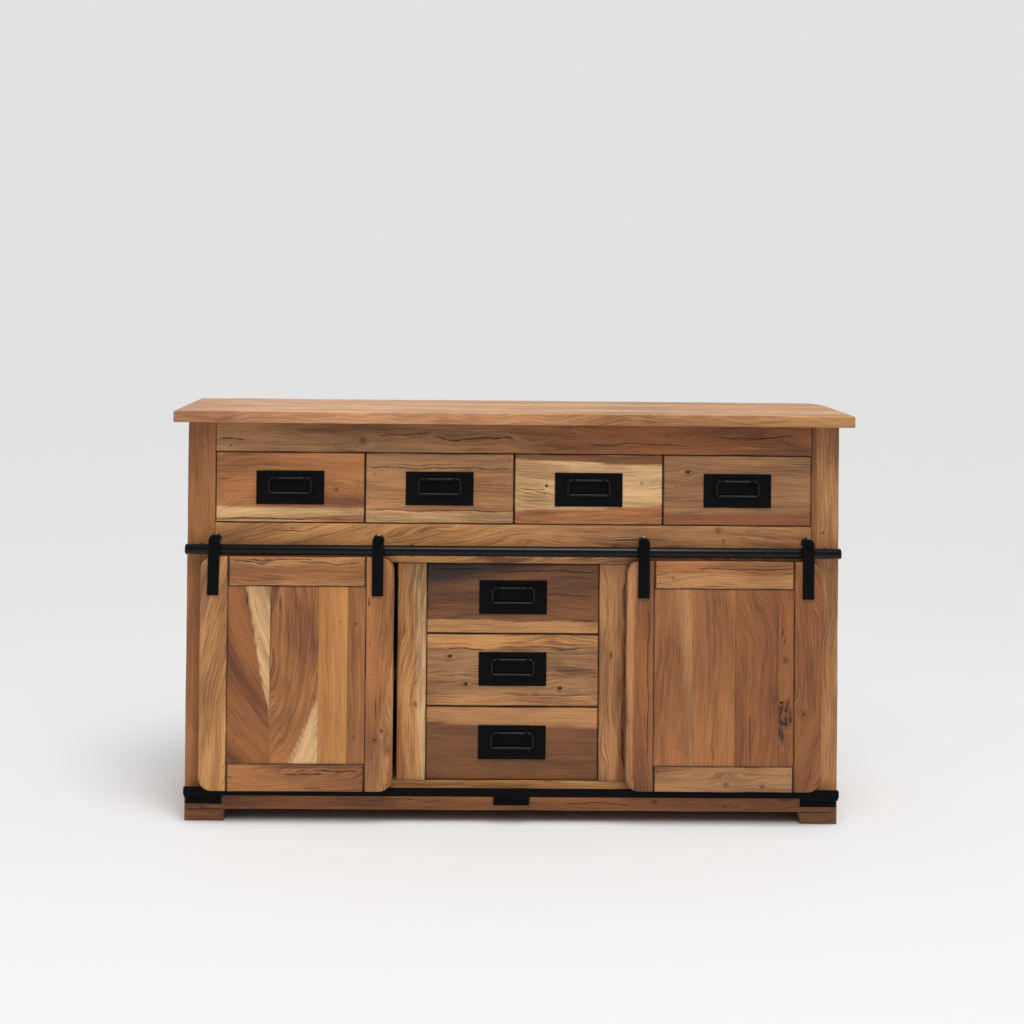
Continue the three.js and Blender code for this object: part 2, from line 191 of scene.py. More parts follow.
def damage_and_shade(rng, u, v, w, length, width, knots, cracks, holes, pins, seam, round_edge):
    """How far each point drifts sideways, how deep it sinks and how dark it is marked."""
    shown = w < 1e-9
    # Cracks wander a little, and the grid lines beside them go along.
    wander = wobbler(rng, 0.16)
    drift = np.zeros_like(v)
    for _, _, across, _ in cracks:
        near = np.exp(-(((v - across * width) / (9 * MM)) ** 2))
        drift += near * wander(u) * 1.6 * MM
    drift *= smooth_step(np.minimum(v, width - v), 0.0, 8 * MM)
    mark = np.zeros_like(u)
    sink = np.zeros_like(u)
    inset = off_the_ends(u, length)
    for start, end, across, wide in cracks:
        reach = smooth_step(u, start * length, start * length + CRACK_FADE)
        reach = reach * (1 - smooth_step(u, end * length - CRACK_FADE, end * length))
        rough = 0.75 + 0.35 * wobbler(rng, 0.03)(u)
        cut = np.exp(-(((v - across * width) / (0.75 * wide)) ** 2)) * reach * rough
        sink = np.maximum(sink, cut * CRACK_DEPTH * inset)
        mark = np.maximum(mark, cut * shown)
    for at, across, radius in [*holes, *((*pin, PIN) for pin in pins)]:
        away = np.hypot(u - at * length, v - across * width)
        pit = 1 - smooth_step(away, 0.45 * radius, 1.1 * radius)
        sink = np.maximum(sink, pit * HOLE_DEPTH * inset)
        mark = np.maximum(mark, pit * shown)
    for at, across, radius in knots:
        away = np.hypot((u - at * length) / 1.25, v - across * width)
        heart = np.exp(-((away / (0.55 * radius)) ** 2))
        rim = np.exp(-(((away - radius) / (0.22 * radius)) ** 2))
        mark = np.maximum(mark, (0.85 * heart + 0.35 * rim) * shown)
        sink = np.maximum(sink, heart * KNOT_DEPTH * inset)
    # Dirt and painted shade: the edges of the shown face are darkened, standing in for the shade in the gaps
    # where boards meet.
    dirt_and_shade = 0.85 + 0.25 * wobbler(rng, 0.14)(u + v)
    dirt_and_shade *= 1 - 0.8 * smooth_step(w, 0.3 * round_edge, round_edge)
    sides = seam if isinstance(seam, tuple) else (seam,) * 4
    for from_side, strength in zip((u, length - u, v, width - v), sides):
        near = 1 - smooth_step(from_side, 0.15 * round_edge, round_edge)
        mark = np.maximum(mark, strength * dirt_and_shade * near)
    return drift, sink * shown, np.clip(mark, 0, 1)


def growth(rng, u, v, w, length, width, rings, lean, knots):
    """Where each point lies in its log: along it, and across and behind the pith that its rings go round."""
    first, last = at_both_ends(lean)
    flow = v + first * u + (last - first) * u * u / (2 * length)
    flow = flow + 2.5 * MM * wobbler(rng, 0.6)(u)
    eddies = [(at * length, across * width, radius, 2.2, 1.0) for at, across, radius in knots]
    if rings == "wild":
        for _ in range(1 + round(length / 0.3)):
            spot = rng.random(2) * (length, width)
            eddies.append((*spot, rng.uniform(10, 24) * MM, 4.5, 0.45))
    for at, across, radius, stretch, strength in eddies:
        across_eddy = (v - across) / radius
        along_eddy = (u - at) / (stretch * radius)
        bend = np.exp(-(along_eddy**2) - (across_eddy / 3.2) ** 2)
        flow = flow - strength * radius * np.tanh(2 * across_eddy) * bend
    if rings == "arched":
        pith = (0.35 + 0.3 * rng.random()) * width
        apex = -(0.25 + 0.3 * rng.random())
        along_arch = u / length if rng.random() < 0.5 else 1 - u / length
        sunk = w + (along_arch - apex) * length * (0.035 + 0.02 * rng.random())
    else:
        pith = -(60 + 90 * rng.random()) * MM
        sunk = 20 * MM + w + 0.03 * rng.random() * u
    return np.stack([u + 7 * rng.random(), flow - pith, sunk], -1)


def tones(rng, u, v, length, width, wood, from_wood, bands):
    """Each point's colour before the grain is drawn on it."""
    tone = np.tile(WOODS[wood], (len(u), 1))
    if from_wood:
        changed = smooth_step(u / length + 0.06 * wobbler(rng, 0.2)(u + 3 * v), 0.3, 0.7)
        tone = WOODS[from_wood] + (tone - WOODS[from_wood]) * changed[:, None]
    for start, end, other, *blur in bands:
        shift = 1.5 * MM * wobbler(rng, 0.3)(u)
        lower, upper = (
            (a + (b - a) * u / length) * width - shift for a, b in (at_both_ends(start), at_both_ends(end))
        )
        soft = (blur[0] if blur else 1.0) * MM
        inside = smooth_step(v - lower, -soft, soft)
        inside = inside * (1 - smooth_step(v - upper, -soft, soft))
        tone += (WOODS[other] - tone) * inside[:, None]
    return tone


def board(
    low, high, along, face, wood, seed, from_wood=None, bands=(), knots=(), cracks=(), holes=(), pins=(),
    rings="plain", lean=0, contrast=1.0, seam=0.4, round_edge=1.6 * MM, step=9 * MM,
):
    """One board between two corners, as arrays. along is the grain's axis and face the shown side, as "-y".

    Places on it are fractions (along, across) from its lowest corner, and sizes are in millimetres:
    bands are (from across, to across, wood) and may add how soft their sides are,
    knots (along, across, radius), cracks (from along, to along, across, width),
    holes (along, across, radius) and pins (along, across).
    A band's sides may be pairs, at the start and the end of the board. lean is the slope of the grain,
    one number or a pair for the two ends. from_wood is the wood at its start, where that differs.
    rings is how the growth lines run: "plain", "wild" with eddies, or "arched" as near the log's heart.
    How dark its edges are painted, with dirt and with painted shade where they meet other boards, is one
    number, or one for the start, the end and both sides.
    """
    rng = np.random.default_rng(seed)
    low, high = np.array(low, float), np.array(high, float)
    iu, iw = AXES[along], AXES[face[1]]
    iv = 3 - iu - iw
    length, width, depth = (high - low)[[iu, iv, iw]]
    knots, cracks, holes = in_metres(knots), in_metres(cracks), in_metres(holes)

    size = np.array([length, width, depth])
    points, quads = board_surface(size, step, round_edge, bands, knots, cracks, holes, pins)
    u, v, w = points.T.copy()
    drift, sink, mark = damage_and_shade(rng, u, v, w, length, width, knots, cracks, holes, pins, seam, round_edge)
    grain = growth(rng, u, v, w, length, width, rings, lean, knots)
    tone = tones(rng, u, v, length, width, wood, from_wood, bands)

    # Rounded, slightly worn edges, and faces that aren't quite flat.
    radius = round_edge * (1 + 0.2 * wobbler(rng, 0.17)(u))
    place = np.stack([u, v, w], -1)
    inner = np.clip(place, radius[:, None], size - radius[:, None])
    away = place - inner
    reach = np.linalg.norm(away, axis=1, keepdims=True)
    outward = np.where(reach > 1e-9, away / np.maximum(reach, 1e-9), 0)
    place = inner + outward * radius[:, None]
    share = place[:, 1] / width
    place[:, 1] += 0.35 * MM * (wobbler(rng, 0.3)(u) * share + wobbler(rng, 0.26)(u) * (1 - share))
    place[:, 1] += drift
    place[:, 2] += 0.18 * MM * wobbler(rng, 0.21)(u + 0.6 * v) * off_the_ends(u, length)
    place[:, 2] += sink

    world = np.empty_like(place)
    world[:, iu] = low[iu] + place[:, 0]
    world[:, iv] = low[iv] + place[:, 1]
    world[:, iw] = low[iw] + place[:, 2] if face[0] == "-" else high[iw] - place[:, 2]
    mirrored = (face[0] == "+") != ((iu, iv, iw) in ((1, 0, 2), (0, 2, 1), (2, 1, 0)))
    if mirrored:
        quads = quads[:, ::-1]
    return {
        "points": world,
        "quads": quads,
        "grain": grain,
        "tone": np.hstack([tone, np.full((len(tone), 1), contrast)]),
        "mark": mark,
    }


def wooden(name, boards, body, *nodes):
    """One piece made of boards. It rides on the body and stands for the CAD nodes."""
    offsets = np.cumsum([0] + [len(b["points"]) for b in boards[:-1]])
    points = np.concatenate([b["points"] for b in boards])
    quads = np.concatenate([b["quads"] + o for b, o in zip(boards, offsets)])
    mesh = bpy.data.meshes.new(name)
    mesh.from_pydata(points.tolist(), [], quads.tolist())
    kinds = {"grain": "FLOAT_VECTOR", "tone": "FLOAT_COLOR", "mark": "FLOAT"}
    for (attribute, kind), key in zip(kinds.items(), ("vector", "color", "value")):
        values = np.concatenate([b[attribute] for b in boards])
        mesh.attributes.new(attribute, kind, "POINT").data.foreach_set(key, values.ravel())
    mesh.shade_smooth()
    mesh.materials.append(wood_material())
    settle(bpy.data.objects.new(name, mesh), body, *nodes)


def add_to_scene(thing):
    bpy.context.scene.collection.objects.link(thing)
    return thing


def settle(piece, body, *nodes):
    """Adds a piece that rides on a body and stands for CAD nodes, which it hides."""
    add_to_scene(piece)
    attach(piece, body)
    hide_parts(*nodes)


# ---- materials ----------------------------------------------------------------------------------

class Nodes:
    """A short way to write a material's or a world's nodes: most calls make a node and return its output."""

    def __init__(self, owner):
        owner.use_nodes = True
        self.tree = owner.node_tree
        self.shader = self.tree.nodes.get("Principled BSDF") or self.tree.nodes["Background"]

    def put(self, socket, value):
        if isinstance(value, bpy.types.NodeSocket):
            self.tree.links.new(value, socket)
        else:
            socket.default_value = value

    def shade(self, inputs):
        for key, value in inputs.items():
            self.put(self.shader.inputs[key], value)

    def outputs(self, kind, inputs=(), **settings):
        node = self.tree.nodes.new(kind)
        for key, value in settings.items():
            setattr(node, key, value)
        for key, value in dict(inputs).items():
            self.put(node.inputs[key], value)
        return node.outputs

    def add(self, kind, inputs=(), output=0, **settings):
        return self.outputs(kind, inputs, **settings)[output]

    def math(self, operation, *values):
        return self.add("ShaderNodeMath", dict(enumerate(values)), operation=operation)

    def swing(self, pattern, strength, start):
        """The start value pushed up and down by a pattern that runs from 0 to 1."""
        return self.math("MULTIPLY_ADD", self.math("SUBTRACT", pattern, 0.5), strength, start)

    def scale(self, vector, factor):
        return self.add("ShaderNodeVectorMath", {0: vector, 3: factor}, operation="SCALE")

    def split(self, vector):
        return self.outputs("ShaderNodeSeparateXYZ", {0: vector})

    def noise(self, place, detail=2.0, roughness=0.5):
        inputs = {"Vector": place, "Scale": 1.0, "Detail": detail, "Roughness": roughness}
        return self.add("ShaderNodeTexNoise", inputs)

    def ramp(self, value, low, high, to_low=0.0, to_high=1.0):
        inputs = {0: value, 1: low, 2: high, 3: to_low, 4: to_high}
        return self.add("ShaderNodeMapRange", inputs, interpolation_type="SMOOTHSTEP")

    def mix(self, factor, first, second):
        return self.add("ShaderNodeMix", {0: factor, 2: first, 3: second})

    def tint(self, factor, first, second, blend="MIX"):
        inputs = {0: factor, 6: first, 7: second}
        return self.add("ShaderNodeMix", inputs, 2, data_type="RGBA", blend_type=blend)

    def bump(self, height, strength, distance):
        return self.add("ShaderNodeBump", {"Height": height, "Strength": strength, "Distance": distance})


@cache
def wood_material():
    material = bpy.data.materials.new("oiled_reclaimed_wood")
    n = Nodes(material)
    grain = n.add("ShaderNodeAttribute", output=1, attribute_name="grain")
    tone = n.add("ShaderNodeAttribute", output=0, attribute_name="tone")
    contrast = n.add("ShaderNodeAttribute", output=3, attribute_name="tone")
    mark = n.add("ShaderNodeAttribute", output=2, attribute_name="mark")
    along, across, deep = n.split(grain)

    def stretched(x, times_x, y, times_y, z):
        inputs = {0: n.math("MULTIPLY", x, times_x), 1: n.math("MULTIPLY", y, times_y), 2: z}
        return n.add("ShaderNodeCombineXYZ", inputs)

    # Distance from the pith, disturbed, so that the lines of growth wander.
    radius = n.math("SQRT", n.math("ADD", n.math("POWER", across, 2.0), n.math("POWER", deep, 2.0)))
    radius = n.swing(n.noise(stretched(along, 3.0, across, 9.0, deep)), 0.020, radius)
    radius = n.swing(n.noise(stretched(along, 12.0, across, 40.0, deep)), 0.004, radius)

    def streak(stretch, fineness, detail, offset=0.0):
        return n.noise(stretched(along, stretch, radius, fineness, offset), detail, 0.65)

    broad = streak(2.4, 120.0, 4.0)
    middle = streak(6.0, 330.0, 3.0, 4.0)
    fine = streak(14.0, 800.0, 1.0, 8.0)
    pores = n.ramp(streak(40.0, 1500.0, 1.0, 12.0), 0.60, 0.72)
    ring_width = 6.5 * MM
    ring = n.math("SINE", n.math("MULTIPLY", radius, 2 * math.pi / ring_width))
    ring = n.math("POWER", n.math("MULTIPLY_ADD", ring, 0.5, 0.5), 3.0)
    ring = n.math("MULTIPLY", ring, n.ramp(streak(1.6, 26.0, 1.0, 16.0), 0.45, 0.65))
    patches = n.noise(stretched(along, 3.2, across, 16.0, deep), 3.0)

    figure = 0.0
    for pattern, strength in ((broad, 1.25), (middle, 1.0), (fine, 1.8), (patches, 2.3)):
        figure = n.swing(pattern, strength, figure)
    figure = n.math("MULTIPLY_ADD", ring, -0.12, figure)
    figure = n.math("MULTIPLY_ADD", pores, -0.22, figure)
    lightness = n.add("ShaderNodeClamp", {0: n.math("MULTIPLY_ADD", figure, contrast, 0.58)})

    dark = n.tint(1.0, tone, (0.46, 0.37, 0.29, 1), "MULTIPLY")
    light = n.tint(1.0, tone, (1.42, 1.46, 1.46, 1), "MULTIPLY")
    colour = n.tint(lightness, dark, light)
    heartwood = n.math("MULTIPLY", n.ramp(streak(1.7, 45.0, 2.0, 20.0), 0.58, 0.76), 0.42)
    colour = n.tint(heartwood, colour, n.tint(1.0, colour, (0.52, 0.42, 0.34, 1), "MULTIPLY"))

    # Shakes: fine dark splits along the grain. Worm and pin holes: rare dark specks.
    shakes = n.ramp(streak(5.0, 240.0, 2.0, 30.0), 0.715, 0.745)
    cells = n.outputs("ShaderNodeTexVoronoi", {"Vector": grain, "Scale": 60.0})
    speck = n.math("SUBTRACT", 1.0, n.ramp(cells["Distance"], 0.055, 0.095))
    rare = n.math("GREATER_THAN", n.add("ShaderNodeSeparateColor", {0: cells["Color"]}), 0.70)
    speck = n.math("MULTIPLY", speck, rare)
    damage_and_shade = n.math("MAXIMUM", n.math("MULTIPLY", speck, 0.85), n.math("MULTIPLY", shakes, 0.7))
    # The mark attribute adds cracks, holes, knots, and edges darkened with dirt and painted shade.
    damage_and_shade = n.math("MAXIMUM", damage_and_shade, mark)

    height = n.math("MULTIPLY_ADD", pores, -0.5, n.math("MULTIPLY_ADD", middle, 0.8, fine))
    n.shade({
        "Base Color": n.tint(damage_and_shade, colour, (0.014, 0.008, 0.005, 1)),
        "Roughness": n.math("MULTIPLY_ADD", damage_and_shade, 0.25, n.math("MULTIPLY_ADD", fine, -0.14, 0.68)),
        "Specular IOR Level": 0.5,
        "Coat Weight": 0.12,
        "Coat Roughness": 0.45,
        "Sheen Weight": 0.06,
        "Sheen Roughness": 0.35,
        "Normal": n.bump(n.math("MULTIPLY_ADD", damage_and_shade, -1.5, height), 0.4, 0.6 * MM),
    })
    return material


def black_steel(name, roughness, specular):
    """Black coat on steel. The mark attribute is 1 where the coat is rubbed through."""
    material = bpy.data.materials.new(name)
    n = Nodes(material)
    place = n.add("ShaderNodeTexCoord", output=3)
    peel = n.noise(n.scale(place, 1 / (1.1 * MM)))
    clouds = n.noise(n.scale(place, 60.0), 3.0, 0.6)
    mark = n.add("ShaderNodeAttribute", output=2, attribute_name="mark")
    rubbed = n.math("MULTIPLY", mark, n.ramp(clouds, 0.40, 0.62))
    coat = n.tint(clouds, (0.0020, 0.0020, 0.0024, 1), (0.0042, 0.0042, 0.0050, 1))
    n.shade({
        "Base Color": n.tint(rubbed, coat, (0.34, 0.33, 0.31, 1)),
        "Metallic": rubbed,
        "Roughness": n.math("MULTIPLY_ADD", clouds, 0.12, roughness - 0.06),
        "Specular IOR Level": specular,
        "Normal": n.bump(peel, 0.2, 0.15 * MM),
    })
    return material


@cache
def flat_black():
    return black_steel("flat_black_steel", 0.50, 0.07)


@cache
def satin_black():
    return black_steel("satin_black_steel", 0.27, 0.22)


# ---- metal shapes -------------------------------------------------------------------------------

def metal(name, shapes, body, *nodes, coat=flat_black, rubbed=None):
    """One steel piece joined from bmesh shapes. rubbed says how bare each point's steel is, from 0 to 1."""
    whole = bpy.data.meshes.new(name)
    joined = bmesh.new()
    for shape in shapes:
        part = bpy.data.meshes.new("part")
        shape.to_mesh(part)
        shape.free()
        joined.from_mesh(part)
        bpy.data.meshes.remove(part)
    bmesh.ops.recalc_face_normals(joined, faces=joined.faces)
    for face in joined.faces:
        face.smooth = True
    for edge in joined.edges:
        if len(edge.link_faces) == 2 and edge.calc_face_angle() > math.radians(38):
            edge.smooth = False
    joined.to_mesh(whole)
    joined.free()
    whole.materials.append(coat())
    if rubbed:
        mark = whole.attributes.new("mark", "FLOAT", "POINT")
        mark.data.foreach_set("value", [rubbed(vertex.co) for vertex in whole.vertices])
    settle(bpy.data.objects.new(name, whole), body, *nodes)


def bevelled(shape, width, segments=2, over=40):
    """Rounds every edge of a shape that turns more than so many degrees."""
    sharp = [e for e in shape.edges if len(e.link_faces) == 2 and e.calc_face_angle() > math.radians(over)]
    bmesh.ops.bevel(shape, geom=sharp, offset=width, segments=segments, affect="EDGES", profile=0.6)
    return shape


def block(low, high, edge=0.5 * MM):
    shape = bmesh.new()
    bmesh.ops.create_cube(shape, size=1)
    low, high = Vector(low), Vector(high)
    for vertex in shape.verts:
        vertex.co = Vector(((low[i] + high[i]) / 2 + vertex.co[i] * (high[i] - low[i]) for i in range(3)))
    return bevelled(shape, edge)


def turned(profile, centre, axis, sides=40):
    """A shape turned about an axis. The profile is (radius, distance along the axis), from axis to axis."""
    shape = bmesh.new()
    along = Vector([1 if i == AXES[axis] else 0 for i in range(3)])
    side = Vector((0, 0, 1)) if axis != "z" else Vector((1, 0, 0))
    points = [shape.verts.new(Vector(centre) + side * r + along * a) for r, a in profile]
    edges = [shape.edges.new(pair) for pair in zip(points, points[1:])]
    bmesh.ops.spin(
        shape, geom=points + edges, cent=centre, axis=along, angle=2 * math.pi, steps=sides, use_merge=True,
    )
    bmesh.ops.remove_doubles(shape, verts=shape.verts, dist=1e-6)
    return shape


def rod(radius, start, end, centre, axis, sides=40, edge=0.6 * MM):
    """A solid round bar from start to end along an axis, with eased ends."""
    profile = [(0, start), (radius - edge, start), (radius, start + edge)]
    profile += [(radius, end - edge), (radius - edge, end), (0, end)]
    return turned(profile, centre, axis, sides)


def round_rectangle(x0, x1, z0, z1, radius, steps=8):
    """The outline of a rectangle with round corners, anticlockwise, as (x, z)."""
    corners = [(x1 - radius, z0 + radius, -90), (x1 - radius, z1 - radius, 0)]
    corners += [(x0 + radius, z1 - radius, 90), (x0 + radius, z0 + radius, 180)]
    outline = []
    for x, z, start in corners:
        for i in range(steps + 1):
            turn = math.radians(start + 90 * i / steps)
            outline.append((x + radius * math.cos(turn), z + radius * math.sin(turn)))
    return outline


def extruded(points, axis, end, edge, segments=2):
    """The flat face between these points, drawn out along an axis up to end, with eased edges."""
    shape = bmesh.new()
    face = shape.faces.new([shape.verts.new(point) for point in points])
    grown = bmesh.ops.extrude_face_region(shape, geom=[face])
    for item in grown["geom"]:
        if isinstance(item, bmesh.types.BMVert):
            item.co[AXES[axis]] = end
    bmesh.ops.recalc_face_normals(shape, faces=shape.faces)
    return bevelled(shape, edge, segments)


def sheet_metal(outline, y0, y1, edge=0.6 * MM):
    """A flat plate with that outline in x and z."""
    return extruded([(x, y0, z) for x, z in outline], "y", y1, edge)


def screw_head(x, y, z, radius, turn):
    """A low domed head with a cross cut into it, facing the front. y is the surface that it sits on."""
    rise = 0.3 * radius
    dome = [(0, -rise)]
    dome += [(radius * math.sin(a), -rise * math.cos(a)) for a in (0.3, 0.6, 0.9, 1.2)]
    dome += [(radius, -0.05 * radius), (radius, 0.3 * MM), (0, 0.3 * MM)]
    shape = turned(dome, (x, y, z), "y", 20)
    for vertex in shape.verts:
        sideways = vertex.co.x - x
        upwards = vertex.co.z - z
        distance = math.hypot(sideways, upwards)
        angle = (math.atan2(upwards, sideways) + turn) % (math.pi / 2)
        in_slot = min(angle, math.pi / 2 - angle) < 0.2 and distance < 0.75 * radius
        if in_slot and vertex.co.y < y - 0.1 * MM:
            vertex.co.y += 0.15 * radius
    return shape


def bent_ring(outline, y, radius, sides=14):
    """A round rod that follows a closed outline in x and z."""
    path = np.array(outline)
    ahead = np.roll(path, -1, 0) - np.roll(path, 1, 0)
    ahead /= np.linalg.norm(ahead, axis=1, keepdims=True)
    outward = np.stack([ahead[:, 1], -ahead[:, 0]], -1)
    shape = bmesh.new()
    rings = []
    for (x, z), (ox, oz) in zip(path, outward):
        ring = []
        for i in range(sides):
            turn = 2 * math.pi * i / sides
            out = radius * math.cos(turn)
            ring.append(shape.verts.new((x + ox * out, y + radius * math.sin(turn), z + oz * out)))
        rings.append(ring)
    for first, second in zip(rings, rings[1:] + rings[:1]):
        for i in range(sides):
            j = (i + 1) % sides
            shape.faces.new((first[i], first[j], second[j], second[i]))
    return shape


# ---- sizes shared with the frame ----------------------------------------------------------------

def corners(node):
    low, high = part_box(node)
    return np.array(low), np.array(high)


def strips(low, high, axis, widths):
    """Splits a box across an axis into strips whose widths are in these proportions.

    They overlap by a hair inside, so that no light comes through, and their round edges make the seam.
    """
    hair = 0.2 * MM
    edges = np.concatenate([[0], np.cumsum(widths)]) / sum(widths)
    axis = AXES[axis]
    for a, b in zip(edges, edges[1:]):
        first, last = np.array(low, float), np.array(high, float)
        first[axis] = low[axis] + a * (high[axis] - low[axis]) - (hair if a > 0 else 0)
        last[axis] = low[axis] + b * (high[axis] - low[axis]) + (hair if b < 1 else 0)
        yield first, last


def within(low, high, **sides):
    """The same box with some sides moved: x0, x1, y0, y1, z0 or z1."""
    low, high = np.array(low, float), np.array(high, float)
    for key, value in sides.items():
        (low if key[1] == "0" else high)[AXES[key[0]]] = value
    return low, high


def planks(low, high, across, widths, looks, along, face, seed, **shared):
    """Boards side by side that fill a box. Each one's look is its wood, or what board() takes for it."""
    boards = []
    for i, (ends, look) in enumerate(zip(strips(low, high, across, widths), looks)):
        look = look if isinstance(look, dict) else {"wood": look}
        boards.append(board(*ends, along, face, seed=seed + i, **shared, **look))
    return boards


def single(name, body, node, along, seed, **look):
    """A piece that is one board, shown from the front, and fills its CAD node's box."""
    wooden(name, [board(*corners(node), along, "-y", seed=seed, **look)], body, node)


# ---- carcass ------------------------------------------------------------------------------------

TOP_LOOKS = [
    dict(wood="tan", contrast=0.7, knots=[(0.22, 0.45, 5), (0.83, 0.6, 4)], cracks=[(0.55, 0.73, 0.35, 1.2)]),
    dict(wood="rose", contrast=0.7, rings="arched", knots=[(0.64, 0.5, 6)]),
    dict(wood="tan", contrast=0.6, knots=[(0.36, 0.3, 4)], cracks=[(0.02, 0.2, 0.5, 1.4)]),
    dict(wood="rose", contrast=0.6, cracks=[(0.7, 0.95, 0.6, 1.2)]),
    dict(wood="tan", contrast=0.6, knots=[(0.5, 0.5, 5)]),
]


def make_top():
    low, high = corners("top")
    boards = planks(
        low, high, "y", (82, 74, 88, 70, 86), TOP_LOOKS, "x", "+z", 11,
        from_wood="rose", seam=0.2, round_edge=2.0 * MM, step=12 * MM,
    )
    # Painted sheen: the top's upper face is lightened in its colour.
    paint_sheen_on_upside(boards, high[2])
    wear_corner(boards, high, across=30 * MM, deep=130 * MM, reach=200 * MM)
    wooden("top_planks", boards, "carcass", "top")


def paint_sheen_on_upside(boards, top):
    """Painted sheen: the upper face is painted paler and greyer than the edges, standing in for the grazing
    reflection of the pale room.
    """
    sheen_gain = np.array([0.16, 0.37, 0.56])
    for one in boards:
        painted_sheen = smooth_step(one["points"][:, 2], top - 1.6 * MM, top - 0.4 * MM)
        one["tone"][:, :3] *= 1 + painted_sheen[:, None] * sheen_gain


def wear_corner(boards, high, across, deep, reach):
    """Pulls the boards' right ends in along the worn back corner's quarter oval.

    The pull fades over the reach, so that the grid there is squeezed evenly.
    """
    for one in boards:
        points = one["points"]
        rise = np.clip(1 - (high[1] - points[:, 1]) / deep, 0, 1)
        pull = across * (1 - np.sqrt(1 - rise**2))
        points[:, 0] -= pull * np.clip(1 - (high[0] - points[:, 0]) / reach, 0, 1)


def make_posts():
    single(
        "left_post_board", "carcass", "left_post", "z", 21, wood="chestnut", contrast=0.7, lean=(-0.02, 0.05),
        round_edge=2.2 * MM, holes=[(0.485, 0.12, 1.6)], pins=[(0.93, 0.55), (0.3, 0.8)],
    )
    single(
        "right_post_board", "carcass", "right_post", "z", 22, wood="tan", rings="wild", round_edge=2.2 * MM,
        bands=[(0, (0.34, 0.22), "russet"), ((0.85, 1.1), 1, "amber")], holes=[(0.71, 0.45, 2.2)],
        pins=[(0.9, 0.7), (0.705, 0.6)],
    )


def make_side_panels():
    looks = [
        dict(wood="chestnut", rings="wild"),
        dict(wood="tan", rings="arched", knots=[(0.45, 0.5, 7)]),
        dict(wood="russet", rings="wild", cracks=[(0.62, 0.9, 0.4, 1.3)]),
        dict(wood="honey", knots=[(0.75, 0.5, 7)]),
    ]
    for side, face, seed in (("left", "-x", 30), ("right", "+x", 40)):
        boards = planks(*corners(f"{side}_side_panel"), "y", (80, 70, 88, 75), looks, "z", face, seed)
        wooden(f"{side}_side_planks", boards, "carcass", f"{side}_side_panel")


def make_feet():
    """The four feet. They stand flat, and the right front one's inner side slants."""
    slant = 7 * MM
    for i, name in enumerate(("left_front", "right_front", "left_back", "right_back")):
        low, high = corners(f"{name}_foot")
        wood, rings = (("russet", "wild"), ("umber", "arched"))[i % 2]
        foot = board(low, high, "x", "-y", wood, 50 + i, rings=rings, round_edge=2 * MM)
        points = foot["points"]
        points[:, 2] = np.maximum(points[:, 2], low[2])
        if name == "right_front":
            drop = (high[2] - points[:, 2]) / (high[2] - low[2])
            points[:, 0] += slant * drop * (high[0] - points[:, 0]) / (high[0] - low[0])
        wooden(f"{name}_foot_block", [foot], "carcass", f"{name}_foot")


def make_front_rails():
    single(
        "frieze_board", "carcass", "frieze_rail", "x", 61, wood="russet", from_wood="greytan", rings="wild",
        lean=(0.02, -0.02), seam=0.8, knots=[(0.245, 0.38, 6)], holes=[(0.025, 0.2, 1.9)],
        cracks=[
            (0.0, 0.05, 0.44, 2.2), (0.27, 0.36, 0.62, 1.2), (0.36, 0.5, 0.5, 1.8), (0.62, 0.8, 0.34, 1.1),
            (0.84, 0.97, 0.6, 1.2),
        ],
        pins=[(0.037, 0.25), (0.2, 0.3), (0.6, 0.7), (0.96, 0.3)],
    )
    single(
        "plinth_board", "carcass", "plinth_rail", "x", 62, wood="russet", rings="wild", contrast=0.9,
        cracks=[(0.3, 0.37, 0.6, 1.2), (0.58, 0.68, 0.4, 1.2)], knots=[(0.72, 0.5, 5)],
        pins=[(0.25, 0.3), (0.55, 0.7)],
    )


GUIDE_HEIGHT = 16 * MM  # of the strips that guide the small drawers
DECK_THICKNESS = 20 * MM


def between_posts():
    """Where the opening between the two posts starts and ends in x, and where the posts end in y."""
    low, high = corners("frieze_rail")
    return low[0], high[0], corners("left_post")[1][1]


def make_deck():
    """The middle rail behind the track, and the deck with its guide strips, which one CAD node holds."""
    low, high = corners("drawer_deck")
    left, right, behind = between_posts()
    rail_back = low[1] + 22 * MM
    deck_top = high[2] - GUIDE_HEIGHT
    rail = board(
        *within(low, high, x0=left, x1=right, y1=rail_back, z1=deck_top), "x", "-y", "tan", 71,
        from_wood="honey", rings="wild", lean=(-0.32, 0.12), seam=0.5,
        cracks=[(0.10, 0.155, 0.78, 1.1), (0.66, 0.76, 0.62, 1.1)],
        knots=[(0.843, 0.86, 6), (0.852, 0.6, 3.5), (0.13, 0.86, 3)],
        pins=[(0.23, 0.9), (0.232, 0.75), (0.229, 0.62), (0.233, 0.48), (0.3, 0.6), (0.475, 0.8)],
    )
    wooden("middle_rail_board", [rail], "carcass", "drawer_deck")
    deck = within(low, high, y0=behind, z0=deck_top - DECK_THICKNESS, z1=deck_top)
    look = dict(contrast=0.8, step=30 * MM)
    boards = planks(*deck, "y", (1, 1, 1), ("tan", "greytan", "tan"), "x", "+z", 72, **look)
    front = within(*deck, x0=left, x1=right, y0=rail_back, y1=behind)
    boards.append(board(*front, "x", "+z", "tan", 76, **look))
    half, strips_front, strips_back = 10 * MM, behind + 2 * MM, high[1] - 34 * MM
    for i in range(5):
        x = left + i * (right - left) / 4
        strip = within(low, high, x0=x - half, x1=x + half, y0=strips_front, y1=strips_back, z0=deck_top)
        boards.append(board(*strip, "y", "+z", "honey", 77 + i, contrast=0.7, step=30 * MM))
    wooden("drawer_deck_boards", boards, "carcass", "drawer_deck")


